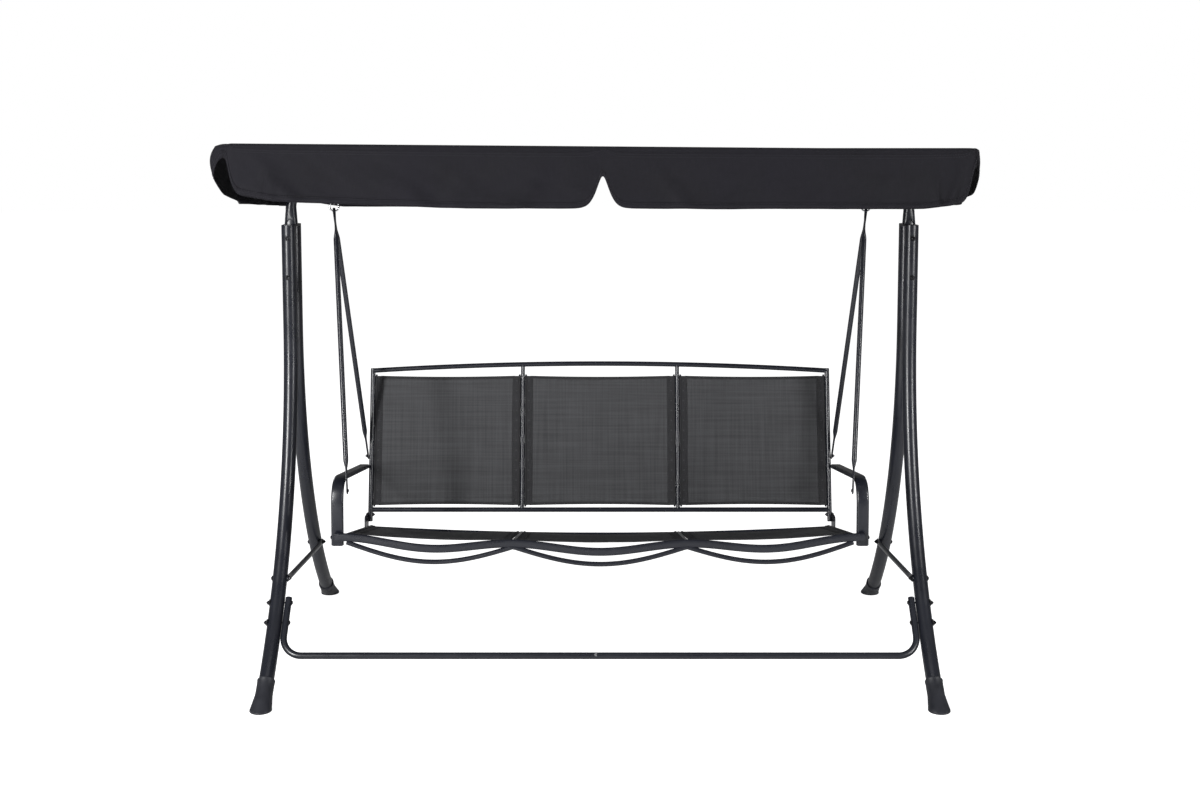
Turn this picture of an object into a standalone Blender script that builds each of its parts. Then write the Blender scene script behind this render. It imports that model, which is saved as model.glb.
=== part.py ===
"""Three-seat garden swing with a tilting fabric canopy.

Metres, +Z up, the front faces -Y, and the origin is on the ground under the middle of the swing.
"""

import math

import bmesh
import bpy
from mathutils import Matrix, Vector

# ---- Driving dimensions -------------------------------------------------------------------------
GAP = 0.0003                # clearance between pieces that touch
ROUND_SIDES = 12            # facets around a thin tube
BOLT_HOLE = 0.0034          # radius
X_AXIS = Vector((1, 0, 0))
Y_AXIS = Vector((0, 1, 0))
Z_AXIS = Vector((0, 0, 1))

# Legs: four curved tubes, upright at the top and swept outwards to the ground.
LEG_RADIUS = 0.0225
LEG_WALL = 0.0015
LEG_SIDES = 12              # facets around a leg
LEG_TOP_Z = 1.377
LEG_BEND_Z = 1.05           # the curve starts here
LEG_BEND_RADIUS = 1.3185
LEG_OFFSET = 0.044          # leg centre to the middle plane, at the top
LEG_X_TOP = 0.995
LEG_X_FOOT = 0.985
LEG_END_Z = 0.034           # height of the tube's lower end
LEG_BOLT_HEIGHTS = (1.341, 1.216)

# Foot caps
FOOT_RADIUS = 0.0325
FOOT_CAP_RADIUS = 0.0262
FOOT_LIP_Z = 0.062          # the cap's lip, on the leg's centre line
FOOT_PAD_HEIGHT = 0.006
FOOT_PAD_REACH = 0.046      # pad centre beyond the tube's end

# Top beam: two tube halves that bend down at the ends and stand on the apex brackets.
BEAM_RADIUS = 0.017
BEAM_WALL = 0.0015
BEAM_Z = 1.495              # centre line at the ends, over the hangers
BEAM_MIDDLE_Z = 1.556       # centre line of the raised middle
BEAM_RISE_X = (0.56, 0.80)  # the rise from the middle height to the end height
BEAM_BEND_RADIUS = 0.055
BEAM_FOOT_Z = 1.3835
BEAM_FOOT_HALF_X = 0.0212
BEAM_FOOT_HALF_Y = 0.0125
BEAM_ARCH_RADIUS = 0.0148
SPIGOT_LENGTH = 0.10

# Apex brackets: two spigots in the leg tops, a bridge plate and a post in the beam's foot.
APEX_SPIGOT_RADIUS = 0.0205
APEX_SPIGOT_WALL = 0.002
APEX_SPIGOT_END_Z = 1.19
APEX_PLATE_Z = (1.3775, 1.383)

# Lower crossbar, bolted along the inner sides of the front legs.
BAR_RADIUS = 0.010
BAR_CLEARANCE = 0.0016      # between a bar and its leg
BAR_WALL = 0.0012
BAR_TOP_Z = 0.255
BAR_Z = 0.116
BAR_BEND_RADIUS = 0.060
BAR_JOINT_X = -0.030
BAR_BOLT_DROPS = (0.016, 0.080)   # from the bar's upper end, along the leg

# Side ties between the front and rear leg of each side
TIE_RADIUS = 0.008
TIE_FRONT_Z = 0.305
TIE_REAR_Z = 0.262

# Flattened tube ends, on the ties and the hangers
FLAT_HALF_THICK = 0.0015
FLAT_HALF_WIDE = 0.0110
FLAT_LENGTH = 0.040                 # on the ties
HANGER_FLAT_LENGTH = 0.072
FLAT_BLEND = 0.035

# Swing pivot: a ring in an eye bolt on each side
PIVOT_Z = 1.455
RING_X = 0.856
RING_RADIUS = 0.015
RING_WIRE = 0.0025
EYE_RADIUS = 0.0105
EYE_WIRE = 0.003
EYE_SHANK = 0.004
WIRE_AROUND = 14             # facets around a ring or an eye
HANGER_RADIUS = 0.008
HANGER_HOLE = 0.0040

# Seat frame
SEAT_SLOPE = math.radians(12)
SEAT_FRONT_Y = -0.330
SEAT_FRONT_Z = 0.450
SEAT_DEPTH = 0.495
SEAT_RAIL_X = 0.769
SEAT_RAIL_HALF = (0.0075, 0.0125)   # half width and half height of the flat-oval tube
RAIL_STEPS = 24                     # stretches along the wavy front rail and the lower rod
SEAT_BOW = 0.022                    # how far the middle of the front and rear rails hangs down
DIVIDER_X = 0.264
DIVIDER_HALF = (0.0070, 0.0100)
REAR_RAIL_RADIUS = 0.009
FRONT_RAIL_HALF = (0.0060, 0.0125)
COLLAR_SCALE = (1.06, 1.10)  # the end collars against the rail
FRONT_RAIL_X = 0.803
FRONT_RAIL_Y = -0.3372
FRONT_SCALLOP_DROP = 0.020
FRONT_SCALLOP_REACH = 0.010
LOWER_ROD_RADIUS = 0.00725
LOWER_ROD_END_Z = 0.4345
LOWER_ROD_DROP = 0.050
LOWER_ROD_BOW = 0.016

# Backrest frame
BACK_LEAN = math.radians(11)
BACK_X = 0.777
BACK_FOOT_Y = 0.182
BACK_FOOT_Z = 0.366
BACK_LENGTH = 0.507
BACK_ARCH = 0.024                   # rise of the top rail at the middle
BACK_TUBE_RADIUS = 0.008
BACK_POST_RADIUS = 0.0068
BACK_LOWER_RAIL = 0.038             # from the side tubes' lower ends
BACK_PLATE_THICK = 0.003

# Slings: mesh fabric panels with a rod in the hem on both sides
SLING_HALF_THICK = 0.0012
SLING_HEM_RADIUS = 0.0042
SLING_CLEARANCE = 0.0010            # hem to frame tube
BACK_SLING = (0.053, 0.489)         # lower and upper edge, along the side tubes
SEAT_SLING = (0.036, 0.474)         # front and rear edge, along the seat rails
SEAT_SLING_LIFT = 0.0125

# Armrests: a flat-oval tube, from the backrest forward and down to the seat's front corner
ARM_X = 0.800
ARM_HALF = (0.019, 0.0075)
ARM_REAR = (0.2055, 0.548)          # Y and Z of the centre line's rear end
ARM_FRONT_Z = 0.617
ARM_POST_Y = -0.3225
ARM_FOOT_Z = 0.422
ARM_BEND_RADIUS = 0.075
HANGER_FRONT_END = (0.7742, -0.293, 0.583)
HANGER_REAR_END = (0.7885, 0.2240, 0.580)

# Canopy
CANOPY_TILT = math.radians(3.2)     # the rear edge hangs lower at rest
CANOPY_PIVOT_Z = 1.570
CANOPY_FRAME_Z = 1.590
CANOPY_HALF = (1.062, 0.550)        # centre lines of the perimeter tube
CANOPY_TUBE = 0.008
CANOPY_ELBOW = 0.012            # the rails stop short of the corner, where an elbow joins them
CANOPY_RIB_X = 0.900
CANOPY_TAB_THICK = 0.004
CANOPY_HOLE = 0.0044
BRACKET_X = 0.912                   # inner face of the canopy bracket plate
BRACKET_THICK = 0.004
BRACKET_HALF_Y = 0.018
COVER_THICK = 0.003
COVER_TOP_LIFT = 0.0122
COVER_HALF = (1.080, 0.565)
COVER_HEM_HALF = (1.066, 0.578)
COVER_DROP = 0.166
COVER_CORNER = 0.035

LEFT_RIGHT = (("left", -1), ("right", 1))
FRONT_REAR = (("front", -1), ("rear", 1))


# ---- Materials ----------------------------------------------------------------------------------
def material(name, colour, roughness, metallic):
    made = bpy.data.materials.new(name)
    made.use_nodes = True
    shader = made.node_tree.nodes["Principled BSDF"]
    shader.inputs["Base Color"].default_value = (*colour, 1)
    shader.inputs["Roughness"].default_value = roughness
    shader.inputs["Metallic"].default_value = metallic
    return made


def make_materials():
    return {
        "steel": material("powder_coated_steel", (0.022, 0.024, 0.030), 0.38, 0.3),
        "chrome": material("chrome", (0.75, 0.75, 0.76), 0.12, 1.0),
        "bolt": material("black_bolt", (0.015, 0.015, 0.017), 0.35, 0.8),
        "plastic": material("black_plastic", (0.012, 0.012, 0.014), 0.55, 0.0),
        "sling": material("sling_mesh", (0.045, 0.046, 0.050), 0.80, 0.0),
        "cover": material("canopy_fabric", (0.012, 0.012, 0.016), 0.90, 0.0),
    }


# ---- Mesh helpers -------------------------------------------------------------------------------
def new_object(name, mesh_builder, finish):
    """An object from a bmesh, with its faces pointing out and its round sides smooth."""
    bmesh.ops.recalc_face_normals(mesh_builder, faces=mesh_builder.faces)
    mesh = bpy.data.meshes.new(name)
    mesh_builder.to_mesh(mesh)
    mesh_builder.free()
    mesh.materials.append(finish)
    mesh.shade_smooth()
    mesh.set_sharp_from_angle(angle=math.radians(40))
    made = bpy.data.objects.new(name, mesh)
    bpy.context.scene.collection.objects.link(made)
    return made


def skin(name, rings, finish, loop=False):
    """A closed surface over rings of points. Its ends are capped, or joined to each other as a loop."""
    built = bmesh.new()
    rows = [[built.verts.new(point) for point in ring] for ring in rings]
    pairs = list(zip(rows, rows[1:]))
    if loop:
        pairs.append((rows[-1], rows[0]))
    for low, high in pairs:
        for i in range(len(low)):
            j = (i + 1) % len(low)
            built.faces.new((low[i], low[j], high[j], high[i]))
    if not loop:
        built.faces.new(rows[0])
        built.faces.new(rows[-1])
    return new_object(name, built, finish)


def outline(half_a, half_b, corner, sides=ROUND_SIDES):
    """A rounded rectangle about the origin. A circle has half_a = half_b = corner."""
    points = []
    for i in range(sides):
        angle = 2 * math.pi * (i + 0.5) / sides
        across, up = math.cos(angle), math.sin(angle)
        points.append((
            math.copysign(half_a - corner, across) + corner * across,
            math.copysign(half_b - corner, up) + corner * up,
        ))
    return points


def circle(radius, sides=ROUND_SIDES):
    return outline(radius, radius, radius, sides)


def tangents(points):
    found = []
    for i in range(len(points)):
        ahead = points[min(i + 1, len(points) - 1)]
        behind = points[max(i - 1, 0)]
        found.append((ahead - behind).normalized())
    return found


def sweep_rings(points, normal, outlines):
    """Rings along a path that lies in the plane with this normal. An outline's first axis is the normal."""
    rings = []
    for point, along, shape in zip(points, tangents(points), outlines):
        side = (normal - along * normal.dot(along)).normalized()
        up = along.cross(side)
        rings.append([point + side * a + up * b for a, b in shape])
    return rings


def rod(name, points, normal, shape, finish):
    """A solid bar of one outline along a path."""
    return skin(name, sweep_rings(points, normal, [shape] * len(points)), finish)


def pipe(name, points, normal, outer, inner, finish):
    """A hollow tube with open ends. outer and inner hold one outline for each point of the path."""
    outside = sweep_rings(points, normal, outer)
    inside = sweep_rings(points, normal, inner)
    return skin(name, outside + inside[::-1], finish, loop=True)


def round_pipe(name, points, normal, radius, wall, finish, sides=ROUND_SIDES):
    outer = [circle(radius, sides)] * len(points)
    inner = [circle(radius - wall, sides)] * len(points)
    return pipe(name, points, normal, outer, inner, finish)


def turned(name, base, axis, profile, finish, sides=ROUND_SIDES):
    """A turned piece. profile holds (distance along the axis, radius) from one end to the other."""
    axis = axis.normalized()
    side = axis.orthogonal().normalized()
    up = axis.cross(side)
    rings = []
    for along, radius in profile:
        centre = base + axis * along
        rings.append([centre + side * a + up * b for a, b in circle(radius, sides)])
    return skin(name, rings, finish)


def torus(name, centre, axis, radius, wire, finish, around=WIRE_AROUND, sides=6):
    side = axis.orthogonal().normalized()
    up = axis.cross(side)
    rings = []
    for i in range(around):
        angle = 2 * math.pi * i / around
        out = side * math.cos(angle) + up * math.sin(angle)
        rings.append([centre + out * (radius + a) + axis * b for a, b in circle(wire, sides)])
    return skin(name, rings, finish, loop=True)


def plate(name, low, high, finish, bevel=0.0):
    """A box between two corners, with its edges along X rounded off when a bevel is given."""
    built = bmesh.new()
    bmesh.ops.create_cube(built, size=1.0)
    size = Vector(high) - Vector(low)
    middle = (Vector(high) + Vector(low)) / 2
    bmesh.ops.transform(built, matrix=Matrix.Diagonal((*size, 1)), verts=built.verts)
    bmesh.ops.translate(built, vec=middle, verts=built.verts)
    if bevel:
        edges = [e for e in built.edges if abs((e.verts[0].co - e.verts[1].co).normalized().x) > 0.9]
        bmesh.ops.bevel(built, geom=edges, offset=bevel, segments=3, profile=0.5, affect="EDGES")
    return new_object(name, built, finish)


def apply_booleans(target, others, operation):
    """Joins or cuts target with the other objects, which are used up."""
    for other in others:
        change = target.modifiers.new(operation.lower(), "BOOLEAN")
        change.operation = operation
        change.object = other
    graph = bpy.context.evaluated_depsgraph_get()
    graph.update()
    mesh = bpy.data.meshes.new_from_object(target.evaluated_get(graph))
    target.modifiers.clear()
    target.data = mesh
    for other in others:
        bpy.data.objects.remove(other)
    return target


def fuse(parts):
    return apply_booleans(parts[0], parts[1:], "UNION")


def drill(target, base, axis, length, radius, finish, sides=10):
    cutter = turned("cutter", base, axis, ((0, radius), (length, radius)), finish, sides)
    return apply_booleans(target, [cutter], "DIFFERENCE")


def bolt(name, base, axis, grip, finish, shank=0.003, head=0.0060, rise=0.0035):
    """A bolt whose domed head sits at base, with its shank along the axis and a nut after the grip length."""
    profile = (
        (-rise, head * 0.45), (-rise * 0.75, head * 0.8), (0, head), (0, shank),
        (grip, shank), (grip, head * 0.9), (grip + rise, head * 0.9), (grip + rise, shank),
        (grip + rise * 1.8, shank * 0.9),
    )
    return turned(name, base, axis, profile, finish, sides=8)


def hang_on(pivot, objects):
    """Parents objects to an empty on their joint's axis, and moves each origin there."""
    for made in objects:
        made.data.transform(Matrix.Translation(-pivot.location))
        made.parent = pivot


def empty(name, location):
    made = bpy.data.objects.new(name, None)
    made.location = location
    made.empty_display_size = 0.1
    bpy.context.scene.collection.objects.link(made)
    return made


# ---- Side frames --------------------------------------------------------------------------------
def leg_x(z):
    return LEG_X_FOOT + (LEG_X_TOP - LEG_X_FOOT) * z / LEG_TOP_Z


def leg_offset(z):
    """Distance of a leg's centre line from the middle plane at a height."""
    if z >= LEG_BEND_Z:
        return LEG_OFFSET
    drop = LEG_BEND_Z - z
    return LEG_OFFSET + LEG_BEND_RADIUS - math.sqrt(LEG_BEND_RADIUS ** 2 - drop ** 2)


def leg_point(side, end, z):
    return Vector((side * leg_x(z), end * leg_offset(z), z))


def leg_slope(z):
    """Angle of the leg from the vertical at a height."""
    return math.asin(max(0.0, LEG_BEND_Z - z) / LEG_BEND_RADIUS)


def leg_path(side, end):
    last = leg_slope(FOOT_LIP_Z)
    steps = 7
    heights = [LEG_TOP_Z, LEG_BEND_Z]
    heights += [LEG_BEND_Z - LEG_BEND_RADIUS * math.sin(last * i / steps) for i in range(1, steps + 1)]
    heights.append(LEG_END_Z)
    return [leg_point(side, end, z) for z in heights]


def leg_direction(end, z):
    """Unit vector down along a leg at a height, in the plane of its side frame."""
    slope = leg_slope(z)
    return Vector((0, end * math.sin(slope), -math.cos(slope)))


def make_leg(side_name, side, end_name, end, finish):
    name = f"leg_{end_name}_{side_name}"
    made = round_pipe(name, leg_path(side, end), X_AXIS, LEG_RADIUS, LEG_WALL, finish, LEG_SIDES)
    for z in LEG_BOLT_HEIGHTS:
        at = leg_point(side, end, z)
        drill(made, at - Y_AXIS * 0.04, Y_AXIS, 0.08, BOLT_HOLE, finish)
    if end < 0:
        for at in bar_bolt_places(side):
            drill(made, at - X_AXIS * side * 0.02, X_AXIS * side, 0.10, BOLT_HOLE, finish)
    return made


def make_foot(side_name, side, end_name, end, finish):
    """A cap around the tube's end that flares to a flat round pad on the ground."""
    tube_end = leg_point(side, end, LEG_END_Z)
    lip = leg_point(side, end, FOOT_LIP_Z)
    along = (tube_end - lip).normalized()
    waist = tube_end + along * 0.006
    pad = Vector((tube_end.x, tube_end.y + end * FOOT_PAD_REACH, 0))
    inner = LEG_RADIUS + GAP
    up = along.cross(X_AXIS)

    def tilted(centre, radius):
        return [centre + X_AXIS * a + up * b for a, b in circle(radius, LEG_SIDES)]

    def level(z, radius):
        centre = pad + Z_AXIS * z
        flat = Vector((0, -end * math.copysign(1, up.y * -end), 0))
        return [centre + X_AXIS * a + flat * b for a, b in circle(radius, LEG_SIDES)]

    rings = [
        level(0, FOOT_RADIUS * 0.94), level(FOOT_PAD_HEIGHT * 0.4, FOOT_RADIUS),
        level(FOOT_PAD_HEIGHT, FOOT_RADIUS * 0.98), tilted(waist, FOOT_CAP_RADIUS * 0.985),
        tilted(tube_end - along * 0.014, FOOT_CAP_RADIUS), tilted(lip, FOOT_CAP_RADIUS),
        tilted(lip, inner), tilted(tube_end + along * GAP, inner),
    ]
    return skin(f"foot_cap_{end_name}_{side_name}", rings, finish)


def make_apex_bracket(side_name, side, finish):
    """Two spigots that fill the leg tops, a bridge plate on them and a post for the beam's foot."""
    parts = []
    for end_name, end in FRONT_REAR:
        path = [leg_point(side, end, z) for z in (APEX_SPIGOT_END_Z, APEX_PLATE_Z[1] - 0.002)]
        parts.append(round_pipe(
            f"spigot_{end_name}", path, X_AXIS, APEX_SPIGOT_RADIUS, APEX_SPIGOT_WALL, finish, LEG_SIDES
        ))
    at = leg_point(side, 0, APEX_PLATE_Z[0])
    half_y = LEG_OFFSET + LEG_RADIUS
    bridge = rod(
        "bridge", [at, at + Z_AXIS * (APEX_PLATE_Z[1] - APEX_PLATE_Z[0])], X_AXIS,
        outline(LEG_RADIUS, half_y, LEG_RADIUS, 16), finish,
    )
    foot_half = (BEAM_FOOT_HALF_X - BEAM_WALL - 0.004, BEAM_FOOT_HALF_Y - BEAM_WALL - 0.003)
    post = rod(
        "post", [at + Z_AXIS * 0.002, at + Z_AXIS * 0.040], X_AXIS,
        outline(*foot_half, 0.004, 12), finish,
    )
    made = fuse([bridge, *parts, post])
    made.name = f"apex_bracket_{side_name}"
    for z in LEG_BOLT_HEIGHTS:
        drill(made, Vector((side * leg_x(z), -0.07, z)), Y_AXIS, 0.14, BOLT_HOLE, finish)
    return made


def beam_path(side):
    """From the middle joint out, round the bend and down to the foot, as points of one half."""
    corner_x = LEG_X_TOP
    centre = Vector((side * (corner_x - BEAM_BEND_RADIUS), 0, BEAM_Z - BEAM_BEND_RADIUS))
    points = []
    for i in range(7):
        angle = math.pi / 2 * i / 6
        points.append(centre + BEAM_BEND_RADIUS * Vector((side * math.sin(angle), 0, math.cos(angle))))
    points.append(Vector((side * corner_x, 0, (BEAM_FOOT_Z + points[-1].z) / 2)))
    points.append(Vector((side * corner_x, 0, BEAM_FOOT_Z)))
    return points


def beam_rise(side):
    """The eased step from the raised middle down to the level over the hangers."""
    points = []
    for i in range(7):
        t = i / 6
        x = BEAM_RISE_X[0] + (BEAM_RISE_X[1] - BEAM_RISE_X[0]) * t
        ease = t * t * (3 - 2 * t)
        points.append(Vector((side * x, 0, BEAM_MIDDLE_Z + (BEAM_Z - BEAM_MIDDLE_Z) * ease)))
    return points


def make_beam(side_name, side, finish):
    """One half of the top beam. The right half ends in a narrower spigot inside the left half."""
    bend = beam_path(side)
    round_part = (BEAM_RADIUS, BEAM_RADIUS, BEAM_RADIUS)
    foot_part = (BEAM_FOOT_HALF_Y, BEAM_FOOT_HALF_X, BEAM_FOOT_HALF_Y)
    middle_part = tuple((a + b) / 2 for a, b in zip(round_part, foot_part))
    sizes = [round_part] * (len(bend) - 2) + [middle_part, foot_part]
    if side > 0:
        narrow = BEAM_RADIUS - BEAM_WALL - GAP
        start = [Vector((x, 0, BEAM_MIDDLE_Z)) for x in (-SPIGOT_LENGTH, 0.0, 0.002)]
        sizes = [(narrow,) * 3, (narrow,) * 3, round_part] + sizes
    else:
        start = [Vector((-GAP, 0, BEAM_MIDDLE_Z))]
        sizes = [round_part] + sizes
    rise = beam_rise(side)
    sizes = sizes[:len(start)] + [round_part] * len(rise) + sizes[len(start):]
    path = start + rise + bend
    outer = [outline(*size) for size in sizes]
    inner = [outline(*(value - BEAM_WALL for value in size)) for size in sizes]
    made = pipe(f"top_beam_{side_name}", path, Y_AXIS, outer, inner, finish)
    foot = Vector((side * LEG_X_TOP, 0, BEAM_FOOT_Z))
    drill(made, foot - Y_AXIS * 0.03, Y_AXIS, 0.06, BEAM_ARCH_RADIUS, finish, sides=20)
    eye = Vector((side * RING_X, 0, BEAM_Z))
    drill(made, eye - Z_AXIS * 0.03, Z_AXIS, 0.06, EYE_SHANK + GAP, finish)
    return made


def bar_end(side):
    """Upper end of the lower crossbar, beside the front leg."""
    at = leg_point(side, -1, BAR_TOP_Z)
    return at - X_AXIS * side * (LEG_RADIUS + BAR_RADIUS + BAR_CLEARANCE)


def bar_direction():
    return leg_direction(-1, (BAR_TOP_Z + BAR_Z) / 2)


def bar_bolt_places(side):
    return [bar_end(side) + bar_direction() * drop for drop in BAR_BOLT_DROPS]


def make_crossbar(side_name, side, finish):
    """One half of the lower crossbar, which lies in a plane that leans with the front legs."""
    down = bar_direction()
    top = bar_end(side)
    length = (BAR_TOP_Z - BAR_Z) / -down.z
    inward = -X_AXIS * side
    centre = top + down * (length - BAR_BEND_RADIUS) + inward * BAR_BEND_RADIUS
    points = [top]
    for i in range(7):
        angle = math.pi / 2 * i / 6
        points.append(
            centre - inward * BAR_BEND_RADIUS * math.cos(angle) + down * BAR_BEND_RADIUS * math.sin(angle)
        )
    level = points[-1]
    sizes = [BAR_RADIUS] * len(points)
    if side > 0:
        narrow = BAR_RADIUS - BAR_WALL - GAP
        ends = (BAR_JOINT_X + 0.0022, BAR_JOINT_X + 0.0002, BAR_JOINT_X - SPIGOT_LENGTH * 0.6)
        sizes += [BAR_RADIUS, narrow, narrow]
    else:
        ends = (BAR_JOINT_X,)
        sizes += [BAR_RADIUS]
    points += [Vector((x, level.y, level.z)) for x in ends]
    outer = [circle(size) for size in sizes]
    inner = [circle(size - BAR_WALL) for size in sizes]
    normal = down.cross(X_AXIS)
    made = pipe(f"lower_crossbar_{side_name}", points, normal, outer, inner, finish)
    for at in bar_bolt_places(side):
        drill(made, at - X_AXIS * 0.02, X_AXIS, 0.04, BOLT_HOLE, finish)
    return made


def flat_ended_bar(name, start, end, normal, radius, flat_length, finish):
    """A tube with both ends pressed flat. The flats' faces look along the normal."""
    along = (end - start).normalized()
    length = (end - start).length
    tip = FLAT_HALF_WIDE
    flat = outline(FLAT_HALF_THICK, FLAT_HALF_WIDE, FLAT_HALF_THICK)
    narrow = outline(FLAT_HALF_THICK, FLAT_HALF_WIDE * 0.62, FLAT_HALF_THICK)
    places = (
        (-tip, narrow), (-tip * 0.45, flat), (flat_length - tip, flat),
        (flat_length - tip + FLAT_BLEND, circle(radius)),
    )
    points = [start + along * place for place, _ in places]
    points += [start + along * (length - place) for place, _ in places[::-1]]
    shapes = [shape for _, shape in places] + [shape for _, shape in places[::-1]]
    return skin(name, sweep_rings(points, normal, shapes), finish)


def make_side_tie(side_name, side, finish):
    inset = X_AXIS * side * (LEG_RADIUS + GAP + FLAT_HALF_THICK)
    front = leg_point(side, -1, TIE_FRONT_Z) - inset
    rear = leg_point(side, 1, TIE_REAR_Z) - inset
    return flat_ended_bar(f"side_tie_{side_name}", front, rear, X_AXIS, TIE_RADIUS, FLAT_LENGTH, finish)


def make_frame_bolts(side_name, side, finish):
    made = []
    for end_name, end in FRONT_REAR:
        for level, z in zip(("upper", "lower"), LEG_BOLT_HEIGHTS):
            at = leg_point(side, end, z) + Y_AXIS * end * (LEG_RADIUS + GAP)
            name = f"leg_bolt_{end_name}_{level}_{side_name}"
            made.append(bolt(name, at, -Y_AXIS * end, 2 * (LEG_RADIUS + GAP), finish))
    for level, at in zip(("upper", "lower"), bar_bolt_places(side)):
        inner = at - X_AXIS * side * (BAR_RADIUS + GAP)
        grip = 2 * (BAR_RADIUS + LEG_RADIUS + 2 * GAP) + BAR_CLEARANCE
        made.append(bolt(f"crossbar_bolt_{level}_{side_name}", inner, X_AXIS * side, grip, finish))
    return made


# ---- Hanging seat -------------------------------------------------------------------------------
def make_eye(side_name, side, finish):
    """An eye bolt through the top beam, with its nut on top."""
    centre = Vector((side * RING_X, 0, PIVOT_Z - RING_WIRE - EYE_WIRE - GAP + EYE_RADIUS))
    loop = torus(f"hanger_eye_{side_name}", centre, X_AXIS, EYE_RADIUS, EYE_WIRE, finish)
    foot = centre + Z_AXIS * (EYE_RADIUS - 0.001)
    washer = BEAM_Z - BEAM_RADIUS - GAP - foot.z
    top = BEAM_Z + BEAM_RADIUS + GAP - foot.z
    profile = (
        (0, EYE_SHANK), (washer - 0.002, EYE_SHANK), (washer - 0.002, 0.008), (washer, 0.008),
        (washer, EYE_SHANK), (top, EYE_SHANK), (top, 0.0075), (top + 0.006, 0.0075),
    )
    shank = turned("shank", foot, Z_AXIS, profile, finish, sides=10)
    return fuse([loop, shank])


def make_ring(side_name, side, finish):
    """A ring in the eye's loop. The swing turns about the wire at its top."""
    centre = Vector((side * RING_X, 0, PIVOT_Z - RING_RADIUS))
    return torus(f"hanger_ring_{side_name}", centre, Y_AXIS, RING_RADIUS, RING_WIRE, finish)


def make_hanger(side_name, side, end_name, finish):
    """A tube from the ring to the armrest, or to the backrest's side tube."""
    low = HANGER_FRONT_END if end_name == "front" else HANGER_REAR_END
    shift = (FLAT_HALF_THICK + GAP) * (1 if end_name == "front" else -1)
    start = Vector((side * (RING_X - shift), 0, PIVOT_Z - 2 * RING_RADIUS))
    end = Vector((side * low[0], low[1], low[2]))
    name = f"hanger_{end_name}_{side_name}"
    made = flat_ended_bar(name, start, end, X_AXIS, HANGER_RADIUS, HANGER_FLAT_LENGTH, finish)
    return drill(made, start - X_AXIS * 0.02, X_AXIS, 0.04, HANGER_HOLE, finish)


def seat_point(x, along, lift=0.0):
    """A point on the seat plane: along is the distance from the front, lift is square to the plane."""
    bow = SEAT_BOW * (1 - (x / SEAT_RAIL_X) ** 2)
    y = SEAT_FRONT_Y + along * math.cos(SEAT_SLOPE) + lift * math.sin(SEAT_SLOPE)
    z = SEAT_FRONT_Z - along * math.sin(SEAT_SLOPE) + lift * math.cos(SEAT_SLOPE)
    return Vector((x, y, z - bow))


def panel_fraction(x):
    """Where x lies across its seat panel, from 0 to 1."""
    if abs(x) <= DIVIDER_X:
        return (x + DIVIDER_X) / (2 * DIVIDER_X)
    return min(1.0, (abs(x) - DIVIDER_X) / (SEAT_RAIL_X - DIVIDER_X))


def front_rail_point(x):
    bow = SEAT_BOW * max(0.0, 1 - (x / SEAT_RAIL_X) ** 2)
    wave = (1 - math.cos(2 * math.pi * panel_fraction(x))) / 2
    return Vector((x, FRONT_RAIL_Y - FRONT_SCALLOP_REACH * wave,
                   SEAT_FRONT_Z - bow - FRONT_SCALLOP_DROP * wave))


def lower_rod_point(x):
    bow = LOWER_ROD_BOW * max(0.0, 1 - (x / SEAT_RAIL_X) ** 2)
    wave = math.sin(math.pi * panel_fraction(x))
    return Vector((x, FRONT_RAIL_Y - FRONT_SCALLOP_REACH * wave * 0.5,
                   LOWER_ROD_END_Z - bow - LOWER_ROD_DROP * wave))


def spread(limit, count):
    """Evenly spaced values from -limit to limit."""
    return [limit * (2 * i / count - 1) for i in range(count + 1)]


def make_seat_frame(finish):
    """Side rails, dividers, bowed rear rail, wavy front rail and scalloped lower rod, welded together."""
    parts = [rod(
        "front_rail", [front_rail_point(x) for x in spread(FRONT_RAIL_X, RAIL_STEPS)], Y_AXIS,
        outline(*FRONT_RAIL_HALF, FRONT_RAIL_HALF[0], 8), finish,
    )]
    lower = [lower_rod_point(x) for x in spread(SEAT_RAIL_X, RAIL_STEPS)]
    parts.append(rod("lower_rod", lower, Y_AXIS, circle(LOWER_ROD_RADIUS, 8), finish))
    rear = [seat_point(x, SEAT_DEPTH) for x in spread(SEAT_RAIL_X, 8)]
    parts.append(rod("rear_rail", rear, Y_AXIS, circle(REAR_RAIL_RADIUS, 10), finish))
    for side in (-1, 1):
        rail = [seat_point(side * SEAT_RAIL_X, along) for along in (0.0, SEAT_DEPTH)]
        rail[0].y = FRONT_RAIL_Y
        shape = outline(*SEAT_RAIL_HALF, SEAT_RAIL_HALF[0])
        parts.append(rod("side_rail", rail, X_AXIS, shape, finish))
        divider = [seat_point(side * DIVIDER_X, along) for along in (-0.004, SEAT_DEPTH)]
        shape = outline(*DIVIDER_HALF, DIVIDER_HALF[0])
        parts.append(rod("divider", divider, X_AXIS, shape, finish))
        collar = [front_rail_point(side * (FRONT_RAIL_X - shift)) for shift in (0.011, -0.002)]
        collar[0].z = collar[1].z
        shape = outline(FRONT_RAIL_HALF[0] * COLLAR_SCALE[0], FRONT_RAIL_HALF[1] * COLLAR_SCALE[1], FRONT_RAIL_HALF[0])
        parts.append(rod("collar", collar, Y_AXIS, shape, finish))
    made = fuse(parts)
    made.name = "seat_frame"
    return made


def back_point(x, along, lift=0.0):
    """A point on the backrest plane: along is the distance up the side tubes, lift is towards the front."""
    y = BACK_FOOT_Y + along * math.sin(BACK_LEAN) - lift * math.cos(BACK_LEAN)
    z = BACK_FOOT_Z + along * math.cos(BACK_LEAN) + lift * math.sin(BACK_LEAN)
    return Vector((x, y, z))


def back_top(x):
    return BACK_LENGTH + BACK_ARCH * (1 - (x / BACK_X) ** 2)


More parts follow.
